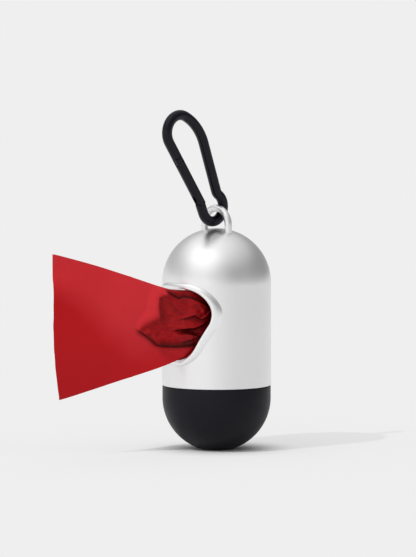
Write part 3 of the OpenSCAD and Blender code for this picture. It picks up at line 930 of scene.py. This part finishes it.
def hook_gate(sizes, line):
    """The gate: a round bar, slotted at both ends, with a bore for its spring."""
    reach, radius = sizes.gate_length, sizes.gate
    foot, soft = -radius - 0.1 * MM, 0.18 * MM
    outline = [(0, foot), (radius, foot)]
    outline += arc((radius - soft, reach - soft), soft, 0, 90, 4) + [(0, reach)]
    bar = turned("hook_gate", outline, 50)  # no corner in line with a corner of the holes
    bar.data.transform(Z_TO_Y)
    wide, out = 2 * radius, 3 * MM
    round_end = arc((0, 0), radius, 180, 360, 24) + [(out, 0), (out, -out), (-out, -out), (-out, 0)]
    cut(
        bar,
        prism(*([(x, y, z) for x, y in round_end] for z in (-out, out))),
        block((-wide, -wide, -SLOT), (wide, 3.2 * MM, SLOT), STILL),
        block((-wide, reach - 3.3 * MM, -SLOT), (wide, reach + MM, SLOT), STILL),
        post(1.1 * MM, -MM, 13 * MM, Z_TO_Y, 32),
        post(0.59 * MM, -wide, wide, STILL, 24),
        post(0.5 * MM, -wide, wide, Matrix.Translation((0, reach - LATCH, 0)), 24),
    )
    bar.data.transform(at_pivot(sizes, line, line.front))
    return tidied(bar, 34)


def spring_coil(sizes, line, material):
    """The spring in the gate's bore."""
    wire = 0.18 * MM
    radius = spring_high.x - wire
    low, climb = 3.18 * MM + wire, 9.46 * MM
    values = {
        "Steps in a turn": 18,
        "Turns": float(sizes.spring_turns),
        "Climb": climb,
        "Thickness": wire,
    }
    coil = wound("spring_coil", False, radius, radius, values, material)
    up = Matrix.Translation((0, low, 0)) @ Z_TO_Y
    coil.data.transform(at_pivot(sizes, line, line.front) @ up)
    return tidied(coil, 50)


# ---------------------------------------------------------------- pulled film

# The film's own lengths are in millimetres: q runs from the roll to the free edge, z is height.
GATHERED_STEPS = (-1.5, 37, 210)
FLAT_STEPS = (37.6, 68.4, 46)
ROWS = 170
MOUTH_Z = 50.0  # where the film's middle passes the opening

# Folds of the gathered film. Each is a roof: its slope on the left and on the right of
# its crest, how far and how darkly painted shade lies on the film beside its steeper slope,
# then the crest's q, z and rise.
FOLDS = [
    (0.30, 0.45, 4.2, 0.42,
     [(26.4, 53.0, 1.7), (26.8, 56.4, 1.8), (26.6, 60.2, 1.6), (22.8, 62.0, 1.2)]),
    (0.30, 0.30, 0.1, 0.0,
     [(34.6, 48.3, 0.6), (33.6, 49.0, 1.0), (31.4, 50.4, 1.4), (28.8, 51.8, 1.7), (26.4, 53.0, 1.7)]),
    (0.30, 3.60, 2.6, 0.95,
     [(33.6, 47.7, 0.9), (32.0, 46.7, 1.8), (30.0, 45.2, 2.5), (27.6, 43.3, 3.0), (25.2, 42.6, 3.3),
      (20.0, 42.4, 3.3), (16.5, 42.4, 2.8), (13.0, 42.6, 1.8), (9.0, 43.2, 0.9)]),
    (0.60, 1.10, 1.3, 0.7,
     [(30.6, 46.8, 2.5), (29.6, 45.6, 3.1), (28.2, 44.2, 3.5), (26.4, 43.3, 3.6)]),
    (0.50, 0.30, 2.3, 1.0,
     [(26.2, 42.6, 0.5), (22.0, 42.2, 0.5), (17.0, 42.2, 0.5), (12.5, 42.5, 0.5)]),
    (1.60, 0.28, 2.4, 0.9,
     [(17.2, 46.1, 3.4), (15.6, 46.1, 3.6), (13.6, 45.7, 3.2), (11.4, 44.9, 2.6)]),
    (0.60, 1.50, 2.4, 0.9,
     [(17.2, 43.7, 3.3), (14.4, 44.2, 3.0), (11.2, 45.1, 2.3), (8.6, 46.2, 1.6)]),
    (0.32, 2.20, 2.7, 0.95,
     [(17.6, 48.3, 3.3), (16.6, 48.5, 3.7), (15.0, 48.6, 3.8), (13.0, 48.6, 3.6), (11.0, 49.2, 3.0),
      (8.6, 50.3, 2.2)]),
    (0.26, 2.20, 1.7, 0.9,
     [(16.6, 52.4, 3.0), (15.2, 52.9, 3.5), (13.0, 53.6, 3.9), (11.6, 52.8, 3.4), (10.2, 51.7, 2.7)]),
    (1.30, 1.80, 1.5, 0.9,
     [(10.2, 51.9, 3.0), (8.6, 52.7, 3.2), (7.2, 53.8, 3.2), (5.6, 55.1, 2.8)]),
    (0.50, 0.50, 0.1, 0.0,
     [(14.2, 58.3, 3.2), (11.4, 57.2, 3.4), (9.6, 55.6, 3.2), (9.2, 53.8, 2.8)]),
    (0.70, 0.12, 1.4, 0.3,
     [(18.2, 54.6, 3.0), (20.4, 56.4, 3.0), (23.2, 59.7, 2.5)]),
    (2.60, 0.10, 2.6, 1.0,
     [(23.0, 61.9, 1.2), (20.8, 60.4, 2.2), (19.2, 59.5, 2.7), (17.0, 60.2, 2.8), (14.0, 59.7, 2.8),
      (11.0, 58.4, 2.8), (8.4, 56.9, 2.6), (6.8, 55.3, 2.2)]),
]
OVERHANG = FOLDS[2][-1]  # the crest of the long lower fold, which hangs over what is below it
SHARPNESS = 9.0  # how crisply one fold's roof meets the next

# Where the film lies in several layers, which its colour also darkens with painted shade: from below,
# round its far point and back above
PILE_EDGE = [
    (-3.0, 42.0), (14.0, 42.0), (24.4, 41.9), (27.8, 42.9), (30.4, 44.8), (32.8, 46.7), (34.4, 48.1),
    (34.0, 49.2), (32.0, 51.0), (28.8, 52.3), (26.6, 53.6), (26.8, 56.4), (26.6, 60.4), (22.9, 62.1),
    (20.0, 63.5),
]
EDGE_STOPS = [-2.0, 12.0, 14.0, 16.7, 19.0, 22.6, 28.0, 34.0, 50.0, 70.0]
LOW_EDGE = [39.0, 38.9, 37.95, 37.05, 36.1, 34.6, 32.7, 30.8, 26.4, 21.3]
TOP_EDGE = [62.1, 62.35, 62.42, 62.5, 62.85, 63.5, 65.2, 67.3, 72.3, 78.2]


def beside(line, q, z):
    """Distance from a chain of points, rise of its nearest point, and 1 on its left or -1."""
    best = np.full(q.shape, 1e9)
    rise, hand = np.zeros(q.shape), np.ones(q.shape)
    for a, b in zip(line, line[1:]):
        run, climb = a[0] - b[0], b[1] - a[1]
        long = run * run + climb * climb
        t = np.clip(((a[0] - q) * run + (z - a[1]) * climb) / long, 0, 1)
        away = np.hypot(a[0] - t * run - q, a[1] + t * climb - z)
        near = away < best
        best = np.where(near, away, best)
        hand = np.where(near, np.sign(run * (z - a[1]) - climb * (a[0] - q)), hand)
        if len(a) > 2:
            rise = np.where(near, a[2] + (b[2] - a[2]) * t, rise)
    return best, rise, hand


def softened(field, times):
    """A grid of values, each averaged with its neighbours a few times."""
    for _ in range(times):
        padded = np.pad(field, 1, mode="edge")
        around = padded[:-2, 1:-1] + padded[2:, 1:-1] + padded[1:-1, :-2] + padded[1:-1, 2:]
        field = (around + 4 * field) / 8
    return field


def smooth_step(t):
    """0 below 0, 1 above 1 and smooth between them."""
    t = np.clip(t, 0, 1)
    return t * t * (3 - 2 * t)


def room_in_opening(z, sizes):
    """How far the film may stand out of its plane and still pass the opening at a height."""
    outline, _ = opening_outline()
    right = outline[outline[:, 0] > 0] / MM
    right = right[np.argsort(right[:, 1])]
    clearance, sleeve_r = 0.55, 18.8
    half = np.interp(z, right[:, 1], right[:, 0]) - clearance
    rises = np.arange(0.0, 4.0, 0.05)
    deep = sizes.offset / MM + rises
    out = np.sqrt(np.maximum(sleeve_r**2 - deep**2, 0))
    across = deep * math.cos(sizes.turn) - out * math.sin(sizes.turn)
    return np.interp(half, across, rises)


def crumple(q, z):
    """Small sharp creases, as a height between about -1 and 1."""
    values = [
        noise.ridged_multi_fractal(Vector((a * 0.2, b * 0.42, 3.7)), 0.9, 2.1, 3, 0.9, 2.0)
        for a, b in zip(q.ravel(), z.ravel())
    ]
    return np.clip(np.array(values).reshape(q.shape) - 1.1, -1, 1)


def gathered(q, z, pile_and_shade, sizes):
    """Rise of the folds out of the film's plane, how far they hang over, and the painted shade in its
    creases, hollows and inside the opening.
    """
    rises, painted_shade = [1.1 * pile_and_shade], np.zeros(q.shape)
    for left, right, reach, much, line in FOLDS:
        away, rise, hand = beside(line, q, z)
        slope = np.where(hand > 0, left, right)
        rises.append(rise - slope * away - 0.012 * away**2)
        # Painted shade falls on the film beside each fold's steeper slope, as far as its reach and as
        # dark as its much.
        under = (hand > 0) == (left > right)
        shade = np.clip(1.12 - away / reach, 0, 1) ** 1.5
        painted_shade = np.maximum(painted_shade, np.where(under, much * shade, 0))
    out = np.log(sum(np.exp(SHARPNESS * r) for r in rises)) / SHARPNESS
    out = softened(out + pile_and_shade * crumple(q, z) * 0.34, 1) - 0.25
    # Painted shade in the hollows of the gathered film.
    hollow_shade = np.clip((softened(out, 60) - out) * 0.9, 0, 1) * pile_and_shade
    out = out * pile_and_shade + softened(out, 140) * (1 - pile_and_shade)
    # Inside the opening the film sinks back and is darkened with painted shade.
    inside = smooth_step((9.6 + 0.036 * (z - 52) ** 2 - q) / 4.0)
    painted_shade = np.maximum(np.maximum(softened(painted_shade, 2), hollow_shade), 0.9 * inside)
    away, rise, _ = beside(OVERHANG, q, z)
    hang = 0.3 * rise * np.exp(-((away / 1.1) ** 2))
    limit = room_in_opening(z, sizes) + 1.1 * np.maximum(q - 13.0, 0)
    return np.minimum(np.maximum(out, 0), limit) - 0.9 * inside, hang, painted_shade


def film_axes(sizes):
    """Where the film's plane leaves the roll, the way it is pulled and the way out of its plane."""
    along = np.array((-math.sin(sizes.turn), -math.cos(sizes.turn), 0.0))
    out_of = np.array((math.cos(sizes.turn), -math.sin(sizes.turn), 0.0))
    return sizes.offset * out_of, along, out_of


def film_grid():
    """The flat film: q and z of its points, and the heights of its two edges at each q."""
    steps = np.concatenate([np.linspace(*GATHERED_STEPS), np.linspace(*FLAT_STEPS)])
    q = np.repeat(steps[:, None], ROWS, 1)
    bow = np.clip((q - 34) / 34, 0, 1)
    low = softened(np.interp(q, EDGE_STOPS, LOW_EDGE) - 0.8 * bow * (1 - bow), 8)
    top = softened(np.interp(q, EDGE_STOPS, TOP_EDGE) + 1.2 * bow * (1 - bow), 8)
    z = low + (top - low) * np.linspace(0, 1, ROWS)[None, :]
    above = (z - MOUTH_Z) / 27.3
    slant = 2.7 * np.clip(-above, 0, 1) ** 2 + 0.7 * np.clip(above, 0, 1)
    return q - slant * smooth_step((q - 30) / 38.6), z, low, top


def film_faces(steps):
    """Faces of the film's front, of its back behind it and of the rim between them."""
    count = steps * ROWS
    faces = quads(steps, ROWS)
    faces += [tuple(count + i for i in reversed(face)) for face in faces]
    rim = [i * ROWS for i in range(steps)]
    rim += [(steps - 1) * ROWS + j for j in range(1, ROWS)]
    rim += [i * ROWS + ROWS - 1 for i in reversed(range(steps - 1))]
    rim += reversed(range(1, ROWS - 1))
    return faces + [(a, b, count + b, count + a) for a, b in zip(rim, rim[1:] + rim[:1])]


def pulled_film(sizes, material):
    """The pulled film: a flat fan of two layers, gathered in loose folds at the opening."""
    q, z, low, top = film_grid()
    # Where the film lies in several layers; its colour is also darkened there with painted shade.
    away, _, hand = beside(PILE_EDGE, q, z)
    soft = np.where(z > 49, 1.8, 0.5)
    pile_and_shade = smooth_step(0.5 - hand * away / soft / 2)
    out, hang, painted_shade = gathered(q, z, pile_and_shade, sizes)
    spread = smooth_step((q - 20) / 30)
    bulge = -2.2 * ((z - (low + top) / 2) / ((top - low) / 2)) ** 2 * spread
    curl = 0.0040 * np.maximum(q - 42, 0) ** 2 * (1 - smooth_step((z - 60) / 14))
    wave = 0.35 * np.sin((z - MOUTH_Z) / 8.5 + q / 19) * spread
    plane = bulge + curl + wave
    front = out + plane
    fold = np.arctan2(z - 50.5, np.maximum(q + 4, 1.0))
    fold = fold + 0.01 * np.sin(q / 5.0 + fold * 9)
    pleats = 0.5 + 0.38 * np.sin(fold * 52 + 1.3) + 0.12 * np.sin(fold * 83)
    deepest = 2.3
    depth = deepest * smooth_step((q - 19) / 12) * (1 - 0.72 * smooth_step((q - 30) / 38))
    share = np.linspace(0, 1, ROWS)
    edge = np.minimum(share, 1 - share)[None, :] * 2
    back = plane - pleats * depth * smooth_step(edge * 4)
    back = np.minimum(back, front - sizes.thickness / MM)
    leaves, along, out_of = film_axes(sizes)
    up = np.array((0.0, 0.0, 1.0))

    def placed(a, b, c):
        run = a[..., None] * along + b[..., None] * up + c[..., None] * out_of
        return (leaves / MM + run).reshape(-1, 3)

    points = np.concatenate([placed(q, z - hang, front), placed(q, z, back)])
    film = solid("pulled_film", points * MM, film_faces(len(q)), 70)
    # Painted sheen: the film is paler above a height that climbs towards its far edge.
    beyond = np.clip(q - 38, 0, 30)
    lightest = 41 + 0.79 * beyond + 1.5 * np.sin(q / 7)
    painted_sheen = smooth_step(0.5 + (z - lightest) / (26 - 0.4 * beyond))
    # The back is darker towards the opening, by its several layers and by painted shade.
    behind = 0.8 * smooth_step((27 - q) / 16)
    # Painted shade in the valleys of the back's pleats.
    valleys = 0.5 * (1 - pleats) * depth / deepest * smooth_step((q - 14) / 10)
    sides = {"pile_and_shade": (pile_and_shade, behind), "painted_shade": (painted_shade, valleys), "painted_sheen": (painted_sheen, 0.4 * painted_sheen)}
    for name, values in sides.items():
        layer = film.data.attributes.new(name, "FLOAT", "POINT")
        layer.data.foreach_set("value", np.concatenate([v.ravel() for v in values]))
    coat(film, material)
    return film


# ---------------------------------------------------------------- stage

FRAME_HEIGHT = 557  # pixels
PIXELS_IN_MM = 2.595
AIM_Z, AIM_LEFT = 65.9 * MM, 3.31 * MM  # what the camera looks at, beside the capsule's axis
KEY = (-48, 49)  # the key light's turn to the right of the camera and its height, in degrees
# Soft panels in the room: turn, height, the cones where they begin and are full, and power
PANELS = (
    (-42, 49, 42, 10, 0.42),
    (-64, -12, 28, 6, 0.6),
    (-26, -12, 30, 6, 0.5),
    (-42, 84, 48, 12, 0.3),
    (36, 18, 26, 6, -0.16),
)


def studio(settings):
    """Floor, room, key light and camera."""
    scene = bpy.context.scene
    scene.view_settings.view_transform = "Standard"
    turn, lift = settings.azimuth, settings.elevation
    front = Vector((math.sin(turn), -math.cos(turn), 0))
    right = Vector((math.cos(turn), math.sin(turn), 0))
    floor_stage(settings)
    sky(scene, settings, front, right)
    lamp = bpy.data.lights.new("key", "SUN")
    lamp.energy = 1.2
    lamp.angle = math.radians(1.6)
    key = linked("key", lamp)
    key.rotation_euler = aimed(front, right, *KEY).to_track_quat("Z", "Y").to_euler()
    key.visible_glossy = False
    toward = front * math.cos(lift) + Vector((0, 0, math.sin(lift)))
    aim = Vector((0, 0, AIM_Z)) - right * AIM_LEFT
    camera = bpy.data.cameras.new("camera")
    camera.lens = PIXELS_IN_MM * settings.distance / MM / FRAME_HEIGHT * camera.sensor_width
    camera.clip_start = 0.05
    camera.clip_end = 200
    eye = linked("camera", camera)
    eye.location = aim + toward * settings.distance
    eye.rotation_euler = toward.to_track_quat("Z", "Y").to_euler()
    scene.camera = eye


def aimed(front, right, turn, lift):
    """The direction that lies turn degrees right of the camera's side and lift degrees up."""
    turn, lift = math.radians(turn), math.radians(lift)
    level = front * math.cos(turn) + right * math.sin(turn)
    return level * math.cos(lift) + Vector((0, 0, math.sin(lift)))


def floor_stage(settings):
    """A large pale floor: white card that keeps the shadow and fades into the backdrop."""
    bm = bmesh.new()
    bmesh.ops.create_grid(bm, x_segments=2, y_segments=2, size=60.0)
    floor = sculpted("floor", bm)
    f = Finish("floor_card")
    shade, vary = settings.backdrop * 0.895, 0.008
    tone = f.blend(f.grain(900.0), (shade - vary,) * 3, (shade + vary,) * 3)
    f.surface(Base_Color=tone, Roughness=0.9, Specular_IOR_Level=0.0)
    rays = f.tree.nodes.new("ShaderNodeLightPath").outputs
    seen, glossy, through = (
        Wire(f.tree, rays[f"Is {kind} Ray"]) for kind in ("Camera", "Glossy", "Transmission")
    )
    mirrored = glossy.maths("MAXIMUM", through)
    away = f.node("ShaderNodeVectorMath", {"operation": "LENGTH"}, out="Value", Vector=f.place)
    near, far = away.ramp(0.012, 0.034), away.ramp(0.2, 0.45)
    glow = f.node("ShaderNodeEmission", Color=(1, 1, 1, 1), Strength=settings.backdrop)
    coat(floor, f.mixed(seen * (near * 0.62 + far * 0.38) + mirrored * far, glow))


def sky(scene, settings, front, right):
    """The room: pale where the camera sees it, and a studio with soft panels for the rest."""
    world = bpy.data.worlds.new("studio")
    scene.world = world
    world.use_nodes = True
    tree = world.node_tree
    spot = node_of(tree, "ShaderNodeTexCoord", out="Generated")

    def along(way):
        """How far a ray points that way, from -1 to 1."""
        dot = tree.nodes.new("ShaderNodeVectorMath")
        dot.operation = "DOT_PRODUCT"
        for socket, value in zip(dot.inputs, (spot, way)):
            put(tree, socket, value)
        return Wire(tree, dot.outputs["Value"])

    up = along((0, 0, 1))
    level = (1.0 - up * up).clamped(0.02, 1.0).maths("SQRT")
    to_right, to_front = along(right) / level, along(front) / level
    low = 0.74 - to_right * 0.42 + to_front * 0.2
    middle = 0.52 - to_right.clamped(-0.25, 1.0) * 0.22 + to_front * 0.12
    high = 0.74 - to_right * 0.15 - to_front * 0.05
    rise, top = up.ramp(0.05, 0.17), up.ramp(0.42, 0.75)
    light = low * (1.0 - rise) + rise * (middle * (1.0 - top) + high * top)
    for turn, lift, *cones, power in PANELS:
        wide, narrow = (math.cos(math.radians(cone)) for cone in cones)
        light = light + along(aimed(front, right, turn, lift)).ramp(wide, narrow) * power
    seen = node_of(tree, "ShaderNodeLightPath", out="Is Camera Ray")
    room = tree.nodes["Background"]
    put(tree, room.inputs["Strength"], light * (1.0 - seen) + seen * settings.backdrop)
    room.inputs["Color"].default_value = (1, 1, 1, 1)


# ---------------------------------------------------------------- operators


def materials_of(colours):
    """The finishes, made once."""
    made = bpy.data.materials
    if "silver_lacquer" not in made:
        silver_lacquer("silver_lacquer", colours.silver, 0.37)
        silver_lacquer("lip_lacquer", colours.lip, 0.3)
        silver_lacquer("bail_steel", colours.silver, 0.4)
        moulded_black("cap_black", colours.black)
        coated_black("hook_black", colours.hook)
        turned_steel("pin_steel", colours.steel)
        turned_steel("pin_black", scaled(colours.steel, 0.16))
        thin_film("film_red", colours.film, colours.painted_sheen, colours.pile_and_shade, 0.25)
        # The roll takes the darker red of the gathered film, which is partly painted shade.
        thin_film("roll_red", colours.pile_and_shade, colours.film, colours.pile_and_shade, 0.05)
        wound_card("core_card")
        fine_grained("liner_rubber", 2200.0, (0.016,) * 3, (0.032,) * 3, 0.72, 0.01 * MM)
        greys = (0.24, 0.24, 0.25), (0.33, 0.33, 0.34)
        fine_grained("retainer_grey", 2000.0, *greys, 0.5, 0.012 * MM)
    return made


def recoat(node, material):
    """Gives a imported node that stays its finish."""
    coat(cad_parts[node], material)


class CapsuleOperator:
    """What the operators share."""

    bl_options = {"REGISTER", "UNDO"}

    @staticmethod
    def given(context):
        """The sizes of capsule, hook and film, and the finishes."""
        scene = context.scene
        made = materials_of(scene.capsule_colours)
        return scene.capsule_sizes, scene.capsule_hook, scene.capsule_film, made


class CAPSULE_OT_shell(CapsuleOperator, bpy.types.Operator):
    """Make the shell and the thread on its neck"""

    bl_idname = "capsule.shell"
    bl_label = "Shell"

    def execute(self, context):
        sizes, _, _, made = self.given(context)
        silver = made["silver_lacquer"]
        dressed(shell_body(sizes), silver, "capsule", "shell", slot="silver_shell")
        ridges = thread("neck_thread", sizes.neck_radius, 1, sizes, 0.0, silver)
        dressed(ridges, silver, "capsule", slot="silver_shell")
        return {"FINISHED"}


class CAPSULE_OT_lip(CapsuleOperator, bpy.types.Operator):
    """Make the lip around the opening"""

    bl_idname = "capsule.lip"
    bl_label = "Lip"

    def execute(self, context):
        sizes, _, _, made = self.given(context)
        dressed(lip_ring(sizes), made["lip_lacquer"], "capsule", "opening_bezel", slot="silver_lip")
        return {"FINISHED"}


class CAPSULE_OT_bail(CapsuleOperator, bpy.types.Operator):
    """Make the bail and finish the plate that holds it"""

    bl_idname = "capsule.bail"
    bl_label = "Bail"

    def execute(self, context):
        _, hook, _, made = self.given(context)
        steel = made["bail_steel"]
        dressed(bail_loop(hook, steel), steel, "capsule", "bail", slot="bail_wire")
        recoat("bail_retainer", made["retainer_grey"])
        return {"FINISHED"}


class CAPSULE_OT_cap(CapsuleOperator, bpy.types.Operator):
    """Make the screw cap and its thread, and finish its liner"""

    bl_idname = "capsule.cap"
    bl_label = "Cap"

    def execute(self, context):
        sizes, _, _, made = self.given(context)
        black = made["cap_black"]
        dressed(cap_body(sizes), black, "cap", "end_cap", slot="black_cap")
        inner = sizes.cap_radius - sizes.cap_wall
        ridges = thread("cap_thread", inner, -1, sizes, math.pi / 2, black)
        dressed(ridges, black, "cap", slot="black_cap")
        recoat("cap_liner", made["liner_rubber"])
        return {"FINISHED"}


class CAPSULE_OT_roll(CapsuleOperator, bpy.types.Operator):
    """Wind the roll of film and finish its core"""

    bl_idname = "capsule.roll"
    bl_label = "Roll"

    def execute(self, context):
        _, _, film, made = self.given(context)
        red = made["roll_red"]
        dressed(film_roll(film, red), red, "roll", "bag_roll", slot="film")
        recoat("roll_core", made["core_card"])
        return {"FINISHED"}


class CAPSULE_OT_film(CapsuleOperator, bpy.types.Operator):
    """Make the film that is pulled out of the opening"""

    bl_idname = "capsule.film"
    bl_label = "Pulled film"

    def execute(self, context):
        _, _, film, made = self.given(context)
        fan = pulled_film(film, made["film_red"])
        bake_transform(fan)
        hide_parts("pulled_bag")
        return {"FINISHED"}


class CAPSULE_OT_hook(CapsuleOperator, bpy.types.Operator):
    """Make the snap hook with its gate and spring, and finish its pins"""

    bl_idname = "capsule.hook"
    bl_label = "Snap hook"

    def execute(self, context):
        _, hook, _, made = self.given(context)
        black, steel = made["hook_black"], made["pin_steel"]
        line = HookLine(hook)
        dressed(hook_rod(hook, line, black), black, "hook", "carabiner_body", slot="black_hook")
        dressed(hook_gate(hook, line), black, "gate", "carabiner_gate", slot="black_hook")
        dressed(spring_coil(hook, line, steel), steel, "gate", "gate_spring", slot="pin_steel")
        recoat("spring_plunger", steel)
        for name in ("gate_pin", "latch_pin"):
            recoat(name, made["pin_black"])
        return {"FINISHED"}


class CAPSULE_OT_stage(CapsuleOperator, bpy.types.Operator):
    """Set the floor, the lights and the camera"""

    bl_idname = "capsule.stage"
    bl_label = "Stage"

    def execute(self, context):
        studio(context.scene.capsule_studio)
        return {"FINISHED"}


GROUPS = {
    "capsule_sizes": CapsuleSizes,
    "capsule_hook": HookSizes,
    "capsule_film": FilmSizes,
    "capsule_colours": FinishColours,
    "capsule_studio": StudioSettings,
}
STEPS = (
    CAPSULE_OT_shell,
    CAPSULE_OT_lip,
    CAPSULE_OT_bail,
    CAPSULE_OT_cap,
    CAPSULE_OT_roll,
    CAPSULE_OT_film,
    CAPSULE_OT_hook,
    CAPSULE_OT_stage,
)


class CAPSULE_PT_panel(bpy.types.Panel):
    """The capsule's sizes and its pieces"""

    bl_label = "Bag dispenser capsule"
    bl_idname = "CAPSULE_PT_panel"
    bl_space_type = "VIEW_3D"
    bl_region_type = "UI"
    bl_category = "Capsule"

    def draw(self, context):
        for group, kind in GROUPS.items():
            box = self.layout.box()
            for name in kind.__annotations__:
                box.prop(getattr(context.scene, group), name)
        for step in STEPS:
            self.layout.operator(step.bl_idname)


def register():
    for kind in (*GROUPS.values(), *STEPS, CAPSULE_PT_panel):
        bpy.utils.register_class(kind)
    for name, kind in GROUPS.items():
        setattr(bpy.types.Scene, name, PointerProperty(type=kind))


def unregister():
    for name in GROUPS:
        delattr(bpy.types.Scene, name)
    for kind in (CAPSULE_PT_panel, *reversed(STEPS), *reversed(GROUPS.values())):
        bpy.utils.unregister_class(kind)


def main():
    register()
    for step in STEPS:
        space, name = step.bl_idname.split(".")
        getattr(getattr(bpy.ops, space), name)()


if __name__ == "__main__":
    main()
